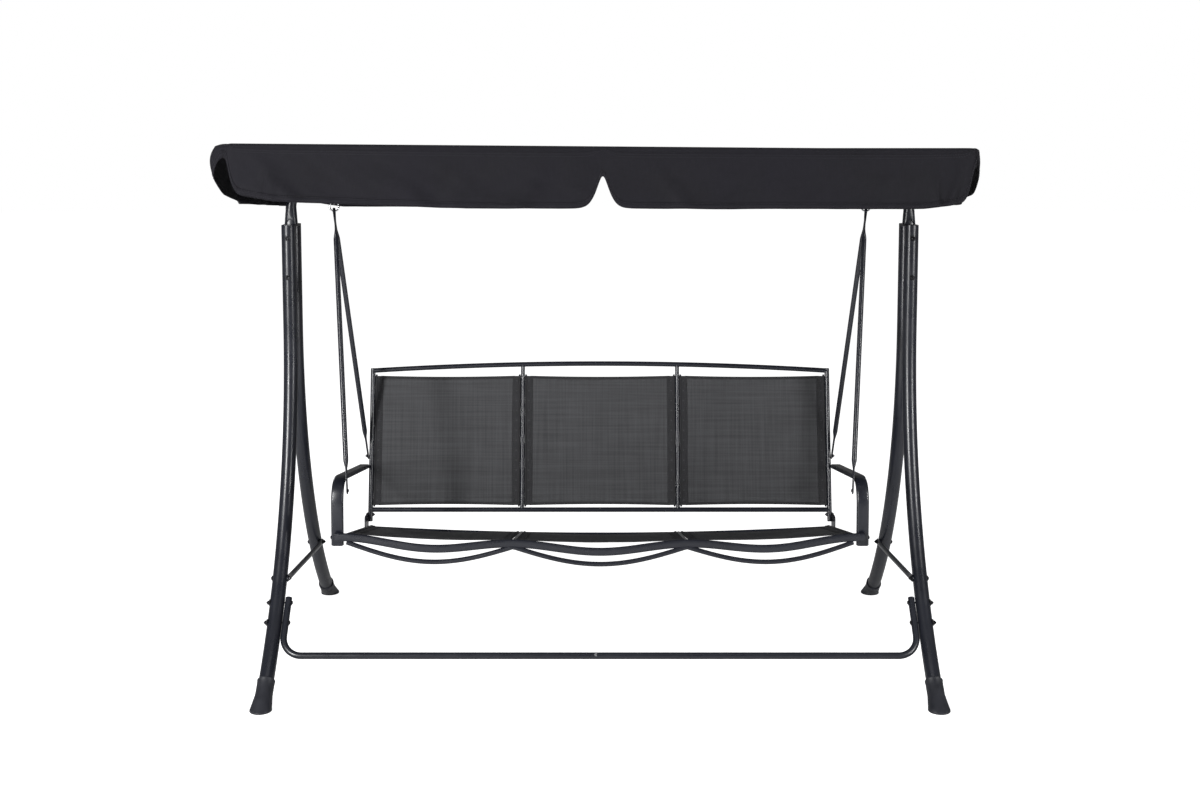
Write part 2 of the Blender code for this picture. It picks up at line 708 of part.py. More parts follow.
def make_back_frame(finish):
    """Side tubes, arched top rail, straight lower rail and two posts, welded together."""
    parts = [rod(
        "top_rail", [back_point(x, back_top(x)) for x in spread(BACK_X, 10)], Y_AXIS,
        circle(BACK_TUBE_RADIUS, 10), finish,
    )]
    lower = [back_point(x, BACK_LOWER_RAIL) for x in (-BACK_X, BACK_X)]
    parts.append(rod("lower_rail", lower, Y_AXIS, circle(BACK_TUBE_RADIUS, 10), finish))
    for side in (-1, 1):
        tube = [back_point(side * BACK_X, along) for along in (0, BACK_LENGTH + BACK_TUBE_RADIUS * 0.9)]
        parts.append(rod("side_tube", tube, X_AXIS, circle(BACK_TUBE_RADIUS, 10), finish))
        x = side * DIVIDER_X
        post = [back_point(x, along) for along in (BACK_LOWER_RAIL, back_top(x))]
        parts.append(rod("post", post, X_AXIS, circle(BACK_POST_RADIUS, 8), finish))
    made = fuse(parts)
    made.name = "backrest_frame"
    return made


def make_back_plate(side_name, side, finish):
    """The plate that joins the backrest's foot to the seat's rear corner."""
    inner = BACK_X + BACK_TUBE_RADIUS + GAP
    low = (inner, BACK_FOOT_Y - 0.055, BACK_FOOT_Z - 0.034)
    high = (inner + BACK_PLATE_THICK, BACK_FOOT_Y + 0.018, BACK_FOOT_Z + 0.028)
    made = plate(f"backrest_plate_{side_name}", low, high, finish, bevel=0.010)
    if side < 0:
        made.data.transform(Matrix.Scale(-1, 4, X_AXIS))
        made.data.flip_normals()
    return made


def sling_ends(panel):
    """The outer X limits of a panel's two hems, between the tubes that hold them."""
    side_tube = {"back": BACK_TUBE_RADIUS, "seat": SEAT_RAIL_HALF[0]}[panel]
    side_x = {"back": BACK_X, "seat": SEAT_RAIL_X}[panel]
    post = {"back": BACK_POST_RADIUS, "seat": DIVIDER_HALF[0]}[panel]
    outer = side_x - side_tube - SLING_CLEARANCE
    inner = DIVIDER_X + post + SLING_CLEARANCE
    middle = DIVIDER_X - post - SLING_CLEARANCE
    return {"left": (-outer, -inner), "middle": (-middle, middle), "right": (inner, outer)}


def make_sling(name, limits, edges, place, finish):
    """A flat fabric panel with round hems down both sides."""
    low_x, high_x = limits
    hem = SLING_HEM_RADIUS
    half = SLING_HALF_THICK
    section = [(low_x + hem + hem * math.cos(a), hem * math.sin(a))
               for a in (math.radians(angle) for angle in range(17, 344, 41))]
    section = [(low_x + 2 * hem, half)] + section + [(low_x + 2 * hem, -half)]
    mirrored = [(low_x + high_x - x, lift) for x, lift in section[::-1]]
    span = high_x - low_x
    inner = [low_x + span * i / 6 for i in range(1, 6)]
    under = [(x, -half) for x in inner]
    over = [(x, half) for x in inner[::-1]]
    loop = section + under + mirrored + over
    rings = [[place(x, along, lift) for x, lift in loop] for along in edges]
    return skin(name, rings, finish)


def make_slings(finish):
    made = []
    for place_name, limits in sling_ends("back").items():
        made.append(make_sling(f"back_sling_{place_name}", limits, BACK_SLING, back_point, finish))

    def raised(x, along, lift):
        return seat_point(x, along, lift + SEAT_SLING_LIFT - SLING_HEM_RADIUS)

    for place_name, limits in sling_ends("seat").items():
        made.append(make_sling(f"seat_sling_{place_name}", limits, SEAT_SLING, raised, finish))
    return made


def make_armrest(side_name, side, finish):
    """A flat-oval tube from the backrest forward, round a bend and down past the seat's front corner."""
    x = side * ARM_X
    rear = Vector((x, *ARM_REAR))
    corner = Vector((x, ARM_POST_Y, ARM_FRONT_Z + 0.008))
    back_way = (rear - corner).normalized()
    reach = ARM_BEND_RADIUS * math.tan((math.pi - back_way.angle(-Z_AXIS)) / 2)
    start = corner + back_way * reach
    finish_point = corner - Z_AXIS * reach
    points = [rear, rear.lerp(start, 0.5)]
    for i in range(9):
        t = i / 8
        points.append(
            start * (1 - t) ** 2 + corner * 2 * t * (1 - t) + finish_point * t ** 2
        )
    points.append(Vector((x, ARM_POST_Y, ARM_FOOT_Z)))
    outer = [outline(*ARM_HALF, ARM_HALF[1])] * len(points)
    wall = 0.0015
    inner = [outline(ARM_HALF[0] - wall, ARM_HALF[1] - wall, ARM_HALF[1] - wall)] * len(points)
    return pipe(f"armrest_{side_name}", points, X_AXIS, outer, inner, finish)


# ---- Canopy -------------------------------------------------------------------------------------
def tilt_canopy(objects):
    """Turns the canopy about its pivot into its resting tilt."""
    pivot = Vector((0, 0, CANOPY_PIVOT_Z))
    turn = (
        Matrix.Translation(pivot) @ Matrix.Rotation(-CANOPY_TILT, 4, "X") @ Matrix.Translation(-pivot)
    )
    for made in objects:
        made.data.transform(turn)


def rounded_rectangle(half_x, half_y, corner, z, steps=4):
    points = []
    for quarter in range(4):
        sign_x = 1 if quarter in (0, 3) else -1
        sign_y = 1 if quarter in (0, 1) else -1
        for i in range(steps + 1):
            angle = math.pi / 2 * (quarter + i / steps)
            points.append(Vector((
                sign_x * (half_x - corner) + corner * math.cos(angle),
                sign_y * (half_y - corner) + corner * math.sin(angle), z,
            )))
    return points


def make_canopy_frame(finish):
    """Four rails round the roof with three ribs between them. The outer ribs carry the pivot tabs."""
    half_x, half_y = CANOPY_HALF
    section = circle(CANOPY_TUBE, 8)
    inset = CANOPY_TUBE + GAP
    reach_x, reach_y = half_x - CANOPY_ELBOW, half_y - CANOPY_ELBOW
    made = []
    for side_name, side in LEFT_RIGHT:
        ends = [Vector((side * half_x, y, CANOPY_FRAME_Z)) for y in (-reach_y, reach_y)]
        made.append(rod(f"canopy_rail_{side_name}", ends, X_AXIS, section, finish))
    for end_name, end in FRONT_REAR:
        ends = [Vector((x, end * half_y, CANOPY_FRAME_Z)) for x in (-reach_x, reach_x)]
        made.append(rod(f"canopy_rail_{end_name}", ends, Y_AXIS, section, finish))
    for name, side in (("left", -1), ("middle", 0), ("right", 1)):
        x = side * CANOPY_RIB_X
        ends = [Vector((x, y, CANOPY_FRAME_Z)) for y in (inset - half_y, half_y - inset)]
        rib = rod(f"canopy_rib_{name}", ends, X_AXIS, section, finish)
        if side:
            half = CANOPY_TAB_THICK / 2
            low = (x - half, -0.014, CANOPY_PIVOT_Z - 0.013)
            high = (x + half, 0.014, CANOPY_FRAME_Z)
            rib = fuse([rib, plate("tab", low, high, finish)])
            rib = drill(rib, Vector((x - 0.02, 0, CANOPY_PIVOT_Z)), X_AXIS, 0.04, CANOPY_HOLE, finish)
        made.append(rib)
    return made


def make_canopy_bracket(side_name, side, finish):
    """A plate that straddles the top beam and carries the canopy's pivot bolt."""
    low = (BRACKET_X, -BRACKET_HALF_Y, BEAM_Z + BEAM_RADIUS * 0.55)
    high = (BRACKET_X + BRACKET_THICK, BRACKET_HALF_Y, CANOPY_PIVOT_Z + 0.014)
    made = plate(f"canopy_bracket_{side_name}", low, high, finish, bevel=0.008)
    if side < 0:
        made.data.transform(Matrix.Scale(-1, 4, X_AXIS))
        made.data.flip_normals()
    start = Vector((side * (BRACKET_X - 0.03), 0, BEAM_Z))
    drill(made, start, X_AXIS * side, 0.06, BEAM_RADIUS + 0.001, finish, sides=16)
    return drill(made, Vector((start.x, 0, CANOPY_PIVOT_Z)), X_AXIS * side, 0.06, CANOPY_HOLE, finish)


def make_canopy_knob(side_name, side, finish):
    """A tilt knob. Its bolt passes the bracket and the canopy's tab to a nut on the inside."""
    face = BRACKET_X + BRACKET_THICK + GAP
    inner = CANOPY_RIB_X - CANOPY_TAB_THICK / 2 - GAP
    base = Vector((side * face, 0, CANOPY_PIVOT_Z))
    grip = face - inner
    shank = CANOPY_HOLE - 0.0004
    profile = (
        (-0.022, 0.010), (-0.021, 0.0165), (-0.010, 0.0180), (-0.006, 0.0120), (0, 0.0110), (0, shank),
        (grip, shank), (grip, 0.0070), (grip + 0.006, 0.0070), (grip + 0.006, 0.0030),
    )
    return turned(f"canopy_knob_{side_name}", base, -X_AXIS * side, profile, finish)


def make_cover(finish):
    """A roof panel with a skirt all round that flares slightly, open underneath."""
    top = CANOPY_FRAME_Z + COVER_TOP_LIFT
    thick = COVER_THICK
    shoulder = 0.010

    def ring(half, inset, z, corner):
        return rounded_rectangle(half[0] - inset, half[1] - inset, corner - inset, z)

    rings = [
        ring(COVER_HALF, shoulder, top, COVER_CORNER), ring(COVER_HALF, 0, top - shoulder, COVER_CORNER),
        ring(COVER_HEM_HALF, 0, top - COVER_DROP, COVER_CORNER),
        ring(COVER_HEM_HALF, thick, top - COVER_DROP, COVER_CORNER),
        ring(COVER_HALF, thick, top - shoulder, COVER_CORNER),
        ring(COVER_HALF, shoulder, top - thick, COVER_CORNER),
    ]
    return skin("canopy_cover", rings, finish)


# ---- Assembly -----------------------------------------------------------------------------------
def clear_scene():
    for old in list(bpy.data.objects):
        bpy.data.objects.remove(old)


def make_frame(finishes):
    steel = finishes["steel"]
    for side_name, side in LEFT_RIGHT:
        for end_name, end in FRONT_REAR:
            make_leg(side_name, side, end_name, end, steel)
            make_foot(side_name, side, end_name, end, finishes["plastic"])
        make_apex_bracket(side_name, side, steel)
        make_beam(side_name, side, steel)
        make_crossbar(side_name, side, steel)
        make_side_tie(side_name, side, steel)
        make_frame_bolts(side_name, side, finishes["bolt"])
        make_eye(side_name, side, finishes["chrome"])
        make_canopy_bracket(side_name, side, steel)
        make_canopy_knob(side_name, side, finishes["plastic"])


def make_seat(finishes):
    steel = finishes["steel"]
    made = [make_seat_frame(steel), make_back_frame(steel)]
    made += make_slings(finishes["sling"])
    for side_name, side in LEFT_RIGHT:
        made.append(make_ring(side_name, side, finishes["chrome"]))
        made.append(make_armrest(side_name, side, steel))
        made.append(make_back_plate(side_name, side, steel))
        for end_name, _ in FRONT_REAR:
            made.append(make_hanger(side_name, side, end_name, steel))
    hang_on(empty("seat_pivot", (0, 0, PIVOT_Z)), made)


def make_canopy(finishes):
    made = [*make_canopy_frame(finishes["steel"]), make_cover(finishes["cover"])]
    tilt_canopy(made)
    hang_on(empty("canopy_pivot", (0, 0, CANOPY_PIVOT_Z)), made)


clear_scene()
all_finishes = make_materials()
make_frame(all_finishes)
make_seat(all_finishes)
make_canopy(all_finishes)
bpy.context.view_layer.update()
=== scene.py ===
"""Looks of the three-seat garden swing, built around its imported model.

Metres, +Z up, the front faces -Y. The dimensions below are the design's own, repeated from the part's source.
"""

import math

import bmesh
import bpy
from mathutils import Matrix, Vector, noise


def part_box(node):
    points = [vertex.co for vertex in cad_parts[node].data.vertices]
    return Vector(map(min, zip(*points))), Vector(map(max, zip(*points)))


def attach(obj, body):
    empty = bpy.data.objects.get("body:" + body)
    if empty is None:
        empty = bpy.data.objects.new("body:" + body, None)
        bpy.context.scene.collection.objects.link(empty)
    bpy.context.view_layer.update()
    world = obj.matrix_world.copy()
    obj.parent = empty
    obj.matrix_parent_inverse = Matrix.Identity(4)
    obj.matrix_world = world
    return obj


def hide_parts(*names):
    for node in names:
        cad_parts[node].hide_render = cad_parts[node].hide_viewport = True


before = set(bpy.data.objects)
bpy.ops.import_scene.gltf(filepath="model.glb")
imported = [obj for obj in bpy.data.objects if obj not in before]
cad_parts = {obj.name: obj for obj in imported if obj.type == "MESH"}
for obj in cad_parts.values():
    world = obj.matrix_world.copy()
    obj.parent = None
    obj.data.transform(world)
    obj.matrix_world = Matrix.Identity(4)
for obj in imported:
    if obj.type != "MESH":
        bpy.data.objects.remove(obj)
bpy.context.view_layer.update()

# ---- The design's dimensions --------------------------------------------------------------------
X_AXIS, Y_AXIS, Z_AXIS = Vector((1, 0, 0)), Vector((0, 1, 0)), Vector((0, 0, 1))
LEFT_RIGHT = (("left", -1), ("right", 1))
FRONT_REAR = (("front", -1), ("rear", 1))
GAP = 0.0003

LEG_RADIUS = 0.0225
LEG_TOP_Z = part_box("leg_front_left")[1].z
LEG_BEND_Z = 1.05
LEG_BEND_RADIUS = 1.3185
LEG_OFFSET = 0.044
LEG_X_TOP = 0.995
LEG_X_FOOT = 0.985
LEG_END_Z = 0.034
LEG_BOLT_HEIGHTS = (1.341, 1.216)
FOOT_RADIUS = 0.0325
FOOT_CAP_RADIUS = 0.0262
FOOT_LIP_Z = 0.062
FOOT_PAD_HEIGHT = 0.006
FOOT_PAD_REACH = 0.046
BAR_RADIUS = 0.010
BAR_TOP_Z = 0.255
BAR_Z = 0.116
BAR_BEND_RADIUS = 0.060
BAR_JOINT_X = -0.030
BAR_BOLT_DROPS = (0.016, 0.080)
TIE_RADIUS = 0.008
TIE_FRONT_Z = 0.305
TIE_REAR_Z = 0.262
FLAT_HALF_THICK = 0.0015
FLAT_HALF_WIDE = 0.0110
TIE_FLAT_LENGTH = 0.040
HANGER_FLAT_LENGTH = 0.072
FLAT_BLEND = 0.035
PIVOT_Z = 1.455
RING_X = 0.856
RING_RADIUS = 0.015
RING_WIRE = 0.0025
HANGER_RADIUS = 0.008
SEAT_SLOPE = math.radians(12)
SEAT_FRONT_Y = -0.330
SEAT_FRONT_Z = 0.450
SEAT_DEPTH = 0.495
SEAT_RAIL_X = 0.769
SEAT_RAIL_HALF = (0.0075, 0.0125)
SEAT_BOW = 0.022
DIVIDER_X = 0.264
DIVIDER_HALF = (0.0070, 0.0100)
REAR_RAIL_RADIUS = 0.009
FRONT_RAIL_HALF = (0.0060, 0.0125)
FRONT_RAIL_X = 0.803
FRONT_RAIL_Y = -0.3372
FRONT_SCALLOP_DROP = 0.020
FRONT_SCALLOP_REACH = 0.010
LOWER_ROD_RADIUS = 0.00725
LOWER_ROD_END_Z = 0.4345
LOWER_ROD_DROP = 0.050
LOWER_ROD_BOW = 0.016
BACK_LEAN = math.radians(11)
BACK_X = 0.777
BACK_FOOT_Y = 0.182
BACK_FOOT_Z = 0.366
BACK_LENGTH = 0.507
BACK_ARCH = 0.024
BACK_TUBE_RADIUS = 0.008
BACK_POST_RADIUS = 0.0068
BACK_LOWER_RAIL = 0.038
SLING_HEM_RADIUS = 0.0042
SLING_CLEARANCE = 0.0010
BACK_SLING = (0.053, 0.489)
SEAT_SLING = (0.036, 0.474)
SEAT_SLING_LIFT = 0.0125
ARM_X = 0.800
ARM_HALF = (0.019, 0.0075)
ARM_REAR = (0.2055, 0.548)
ARM_FRONT_Z = 0.617
ARM_POST_Y = -0.3225
ARM_FOOT_Z = 0.422
ARM_BEND_RADIUS = 0.075
HANGER_FRONT_END = (0.7742, -0.293, 0.583)
HANGER_REAR_END = (0.7885, 0.2240, 0.580)
CANOPY_TILT = math.radians(3.2)
CANOPY_PIVOT_Z = 1.570
CANOPY_RIB_X = 0.900
CANOPY_FRAME_Z = 1.590
CANOPY_HALF = (1.062, 0.550)
CANOPY_TUBE = 0.008
CANOPY_ELBOW = 0.012
ROOF_LIFT = 0.0322          # roof fabric above the canopy's pivot
COVER_HALF = (1.080, 0.565)
COVER_CORNER = 0.035
COVER_DROP = 0.166

CANOPY_NODES = [f"canopy_rail_{name}" for name in ("front", "rear", "left", "right")]
CANOPY_NODES += [f"canopy_rib_{name}" for name in ("left", "middle", "right")]

# ---- Looks only ---------------------------------------------------------------------------------
TUBE_SIDES = 24
BAR_END_SCALE = 0.86  # a bar's end face against its section
FLOOR_RADIUS, FLOOR_Z, FLOOR_SIDES = 30, -0.0005, 96
LEG_SIDES = 40
FABRIC_THICK = 0.0014
HEM_BAND = 0.018            # height of the valance's sewn hem
SLING_HEM_WIDTH = 0.027
STITCH = 0.0045             # length of one stitch
STITCH_PITCH = 0.0075


# ---- Materials ----------------------------------------------------------------------------------
class Graph:
    """A material's node tree, with short calls for the nodes that the finishes share."""

    def __init__(self, name, colour, roughness, metallic=0.0, **sockets):
        self.material = bpy.data.materials.new(name)
        self.material.use_nodes = True
        self.tree = self.material.node_tree
        self.shader = self.tree.nodes["Principled BSDF"]
        self.shader.inputs["Base Color"].default_value = (*colour, 1)
        self.shader.inputs["Roughness"].default_value = roughness
        self.shader.inputs["Metallic"].default_value = metallic
        for socket, value in sockets.items():
            self.shader.inputs[socket.replace("_", " ")].default_value = value
        self.place = self.tree.nodes.new("ShaderNodeTexCoord").outputs["Object"]

    def node(self, kind, inputs=None, **settings):
        made = self.tree.nodes.new("ShaderNode" + kind)
        for setting, value in settings.items():
            setattr(made, setting, value)
        for socket, value in (inputs or {}).items():
            if isinstance(value, bpy.types.NodeSocket):
                self.tree.links.new(value, made.inputs[socket])
            else:
                made.inputs[socket].default_value = value
        return made

    def stretched(self, scale):
        return self.node("Mapping", {"Vector": self.place, "Scale": scale}).outputs["Vector"]

    def noise(self, scale, detail=3.0, stretch=(1, 1, 1), roughness=0.5):
        where = self.stretched(stretch)
        made = self.node("TexNoise", {"Vector": where, "Scale": scale, "Detail": detail, "Roughness": roughness})
        return made.outputs["Fac"]

    def wave(self, pitch, direction, distortion=0.0):
        """Bands this far apart. A wave texture of scale 1 repeats every pi / 10."""
        made = self.node(
            "TexWave", {"Vector": self.place, "Scale": math.pi / 10 / pitch, "Distortion": distortion},
            bands_direction=direction,
        )
        return made.outputs["Fac"]

    def math(self, operation, a, b):
        return self.node("Math", {0: a, 1: b}, operation=operation).outputs[0]

    def ramp(self, fac, low, high, start=0.0, end=1.0):
        """A value or a colour that goes from low to high as fac goes from start to end."""
        made = self.node("MapRange", {"Value": fac, "From Min": start, "From Max": end})
        if isinstance(low, tuple):
            mixed = self.node(
                "Mix", {"Factor": made.outputs[0], "A": (*low, 1), "B": (*high, 1)}, data_type="RGBA"
            )
            return mixed.outputs["Result"]
        made.inputs["To Min"].default_value = low
        made.inputs["To Max"].default_value = high
        return made.outputs[0]

    def colour(self, socket):
        self.tree.links.new(socket, self.shader.inputs["Base Color"])

    def roughness(self, socket):
        self.tree.links.new(socket, self.shader.inputs["Roughness"])

    def bump(self, height, distance, strength=1.0, under=None):
        inputs = {"Height": height, "Distance": distance, "Strength": strength}
        if under:
            inputs["Normal"] = under
        made = self.node("Bump", inputs).outputs["Normal"]
        self.tree.links.new(made, self.shader.inputs["Normal"])
        return made


def powder_coat():
    """Satin blue-black powder coat on steel, with orange peel and faint handling marks."""
    g = Graph("powder_coat", (0.0155, 0.0172, 0.0248), 0.34, 0.0, Specular_IOR_Level=0.62)
    g.colour(g.ramp(g.noise(3.5, 4.0), (0.0095, 0.0107, 0.0162), (0.0145, 0.0161, 0.0235), 0.3, 0.7))
    g.roughness(g.ramp(g.noise(22.0, 5.0), 0.25, 0.35, 0.3, 0.7))
    peel = g.bump(g.noise(420.0, 2.0), 0.00012, 0.5)
    g.bump(g.noise(1500.0, 1.0), 0.00004, 0.4, under=peel)
    return g.material


def chrome():
    g = Graph("chrome", (0.74, 0.75, 0.77), 0.14, 1.0)
    g.roughness(g.ramp(g.noise(160.0, 4.0), 0.08, 0.22, 0.35, 0.7))
    g.bump(g.noise(700.0, 2.0, (1, 1, 0.1)), 0.00003, 0.5)
    return g.material


def black_bolt():
    """Black zinc with a little bright wear."""
    g = Graph("black_bolt", (0.03, 0.03, 0.034), 0.34, 0.75)
    g.colour(g.ramp(g.noise(260.0, 4.0), (0.018, 0.018, 0.021), (0.075, 0.075, 0.08), 0.45, 0.8))
    g.bump(g.noise(900.0, 2.0), 0.00005, 0.5)
    return g.material


def moulded_plastic():
    g = Graph("moulded_plastic", (0.014, 0.015, 0.021), 0.5)
    g.colour(g.ramp(g.noise(30.0, 4.0), (0.011, 0.012, 0.017), (0.019, 0.020, 0.027), 0.3, 0.7))
    g.roughness(g.ramp(g.noise(60.0, 3.0), 0.42, 0.6, 0.3, 0.7))
    g.bump(g.noise(1300.0, 2.0), 0.00008, 0.6)
    return g.material


def canopy_fabric():
    """Plain-woven polyester with a faint sheen. The threads run along X, Y and Z."""
    g = Graph("canopy_fabric", (0.0125, 0.0118, 0.0165), 0.8, 0.0, Specular_IOR_Level=0.22, Sheen_Weight=0.04,
              Sheen_Roughness=0.4)
    cloudy = g.noise(5.0, 5.0)
    slub = g.noise(260.0, 3.0, (1.0, 1.0, 0.06))
    shade = g.math("MULTIPLY_ADD", slub, 0.35)
    g.tree.links.new(cloudy, shade.node.inputs[2])
    g.colour(g.ramp(shade, (0.0062, 0.0058, 0.0086), (0.0105, 0.0098, 0.0140), 0.45, 0.9))
    g.roughness(g.ramp(cloudy, 0.72, 0.88, 0.3, 0.7))
    warp = g.math("MAXIMUM", g.wave(0.0011, "X"), g.wave(0.0011, "Y"))
    weave = g.math("MULTIPLY", warp, g.wave(0.0011, "Z"))
    woven = g.bump(weave, 0.00025, 0.5)
    g.bump(g.noise(48.0, 4.0, (1, 1, 1.6)), 0.0007, 0.35, under=woven)
    return g.material


def sling_mesh():
    """Coated yarn woven into an open mesh, with streaks where yarns lie closer together."""
    g = Graph("sling_mesh", (0.042, 0.043, 0.048), 0.62)
    across = g.wave(0.0021, "X")
    up = g.wave(0.0021, "Z")
    yarn = g.math("MAXIMUM", across, up)
    streaks = g.math("ADD", g.noise(190.0, 2.0, (1.0, 0.02, 0.02)), g.noise(170.0, 2.0, (0.02, 0.02, 1.0)))
    blotch = g.math("ADD", streaks, g.math("MULTIPLY", g.noise(9.0, 3.0), 0.35))
    light = g.ramp(blotch, (0.022, 0.0225, 0.025), (0.052, 0.053, 0.058), 0.85, 1.5)
    dark = g.node(
        "Mix", {"Factor": g.ramp(yarn, 0.55, 0.0, 0.25, 0.75), "A": light, "B": (0.010, 0.010, 0.012, 1)},
        data_type="RGBA",
    )
    g.colour(dark.outputs["Result"])
    g.bump(yarn, 0.0004, 0.7)
    return g.material


def hem_fabric():
    """The black coated tape of the sling hems and bindings."""
    g = Graph("hem_fabric", (0.0065, 0.0065, 0.0085), 0.7)
    g.colour(g.ramp(g.noise(45.0, 4.0), (0.005, 0.005, 0.0066), (0.0095, 0.0095, 0.0125), 0.3, 0.7))
    g.bump(g.math("MULTIPLY", g.wave(0.0012, "X"), g.wave(0.0012, "Z")), 0.0003, 0.6)
    return g.material


def thread(name, colour):
    g = Graph(name, colour, 0.6)
    g.bump(g.noise(2500.0, 2.0), 0.0001, 0.6)
    return g.material


FINISHES = {
    "steel": (powder_coat(), "steel"),
    "chrome": (chrome(), "chrome"),
    "bolt": (black_bolt(), "bolt"),
    "plastic": (moulded_plastic(), "plastic"),
    "cover": (canopy_fabric(), "cover"),
    "mesh": (sling_mesh(), "sling"),
    "hem": (hem_fabric(), "sling"),
    "canopy_thread": (thread("canopy_thread", (0.020, 0.019, 0.026)), "cover"),
    "sling_thread": (thread("sling_thread", (0.030, 0.030, 0.034)), "sling"),
    "eyelet": (thread("eyelet", (0.050, 0.050, 0.056)), "sling"),
}


# ---- Mesh helpers -------------------------------------------------------------------------------
class Shape:
    """Points and faces of one piece, collected from several closed or open surfaces."""

    def __init__(self):
        self.points = []
        self.faces = []

    def skin(self, rings, loop=False, caps=True):
        """A surface over rings of points, capped at its ends or joined end to end."""
        first = len(self.points)
        count = len(rings[0])
        for ring in rings:
            self.points += [tuple(point) for point in ring]
        last = len(rings) - (0 if loop else 1)
        for k in range(last):
            low = first + k * count
            high = first + (k + 1) % len(rings) * count
            for i in range(count):
                j = (i + 1) % count
                self.faces.append((low + i, low + j, high + j, high + i))
        if caps and not loop:
            self.faces.append(tuple(range(first + count - 1, first - 1, -1)))
            end = first + (len(rings) - 1) * count
            self.faces.append(tuple(range(end, end + count)))

    def grid(self, rows):
        """An open surface over rows of points."""
        first = len(self.points)
        count = len(rows[0])
        for row in rows:
            self.points += [tuple(point) for point in row]
        for k in range(len(rows) - 1):
            for i in range(count - 1):
                a = first + k * count + i
                self.faces.append((a, a + 1, a + count + 1, a + count))


def piece(name, shape, finish, body, replaced=(), sharp=35, thick=0.0):
    """An object from a shape, with its finish, riding on a body of the model."""
    mesh = bpy.data.meshes.new(name)
    mesh.from_pydata(shape.points, [], shape.faces)
    made = bpy.data.objects.new(name, mesh)
    bpy.context.scene.collection.objects.link(made)
    material, slot = FINISHES[finish]
    mesh.materials.append(material)
    if not thick:
        face_out(mesh)
    mesh.shade_smooth()
    mesh.set_sharp_from_angle(angle=math.radians(sharp))
    if thick:
        solid = made.modifiers.new("thickness", "SOLIDIFY")
        solid.thickness = thick
        solid.offset = -1
    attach(made, body)
    if replaced:
        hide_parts(*replaced)
    return made


def face_out(mesh):
    built = bmesh.new()
    built.from_mesh(mesh)
    bmesh.ops.recalc_face_normals(built, faces=built.faces)
    built.to_mesh(mesh)
    built.free()


def smooth_copy(node, finish, body):
    """A CAD node's own shape with its facets shaded round, in place of the node."""
    built = bmesh.new()
    built.from_mesh(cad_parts[node].data)
    bmesh.ops.remove_doubles(built, verts=built.verts, dist=1e-5)
    shape = Shape()
    shape.points = [tuple(v.co) for v in built.verts]
    shape.faces = [tuple(v.index for v in f.verts) for f in built.faces]
    built.free()
    return piece(f"{node}_finished", shape, finish, body, [node])


def outline(half_a, half_b, corner, sides=TUBE_SIDES):
    """A rounded rectangle about the origin. A circle has half_a = half_b = corner."""
    points = []
    for i in range(sides):
        angle = 2 * math.pi * (i + 0.5) / sides
        across, up = math.cos(angle), math.sin(angle)
        points.append((
            math.copysign(half_a - corner, across) + corner * across,
            math.copysign(half_b - corner, up) + corner * up,
        ))
    return points


def circle(radius, sides=TUBE_SIDES):
    return outline(radius, radius, radius, sides)


def between(low, high, t):
    return [tuple(p + (q - p) * t for p, q in zip(a, b)) for a, b in zip(low, high)]


def sweep_rings(points, normal, outlines):
    """Rings along a path that lies in the plane with this normal. An outline's first axis is the normal."""
    rings = []
    for i, (point, shape) in enumerate(zip(points, outlines)):
        ahead = points[min(i + 1, len(points) - 1)]
        behind = points[max(i - 1, 0)]
        along = (ahead - behind).normalized()
        side = (normal - along * normal.dot(along)).normalized()
        up = along.cross(side)
        rings.append([point + side * a + up * b for a, b in shape])
    return rings


def add_bar(shape, points, normal, section, round_end=0.0012):
    """A bar of one section along a path, with its end edges rounded off."""
    first = (points[0] - points[1]).normalized()
    last = (points[-1] - points[-2]).normalized()
    rings = sweep_rings(points, normal, [section] * len(points))
    middle = [sum((p for p in ring), Vector()) / len(ring) for ring in (rings[0], rings[-1])]
    ends = []
    for ring, centre, out in ((rings[0], middle[0], first), (rings[-1], middle[1], last)):
        ends.append([centre + (p - centre) * BAR_END_SCALE + out * round_end for p in ring])
    shape.skin([ends[0], *rings, ends[1]])


def add_turned(shape, base, axis, profile, sides=TUBE_SIDES):
    """A turned form. profile holds (distance along the axis, radius) from one end to the other."""
    axis = axis.normalized()
    side = axis.orthogonal().normalized()
    up = axis.cross(side)
    rings = []
    for along, radius in profile:
        centre = base + axis * along
        rings.append([centre + side * a + up * b for a, b in circle(radius, sides)])
    shape.skin(rings)


def add_torus(shape, centre, axis, radius, wire, around=40, sides=14):
    axis = axis.normalized()
    side = axis.orthogonal().normalized()
    up = axis.cross(side)
    rings = []
    for i in range(around):
        angle = 2 * math.pi * i / around
        out = side * math.cos(angle) + up * math.sin(angle)
        rings.append([centre + out * (radius + a) + axis * b for a, b in circle(wire, sides)])
    shape.skin(rings, loop=True)


def add_screw_head(shape, base, out, radius=0.0060, rise=0.0036):
    """A button head on a face: a dome with a six-sided socket. base is on the face and out points away from it."""
    side = out.orthogonal().normalized()
    up = out.cross(side)
    rings = []
    for height, share in ((0, 1.0), (0.25, 0.985), (0.6, 0.88), (0.85, 0.70), (0.97, 0.56), (0.97, 0.50)):
        centre = base + out * rise * height
        rings.append([centre + side * a + up * b for a, b in circle(radius * share, 24)])
    for height, share in ((0.93, 0.46), (0.35, 0.44)):
        centre = base + out * rise * height
        ring = []
        for i in range(24):
            angle = 2 * math.pi * (i + 0.5) / 24
            hexagonal = math.cos(math.pi / 6) / math.cos((angle % (math.pi / 3)) - math.pi / 6)
            reach = radius * share * hexagonal
            ring.append(centre + side * math.cos(angle) * reach + up * math.sin(angle) * reach)
        rings.append(ring)
    shape.skin(rings)


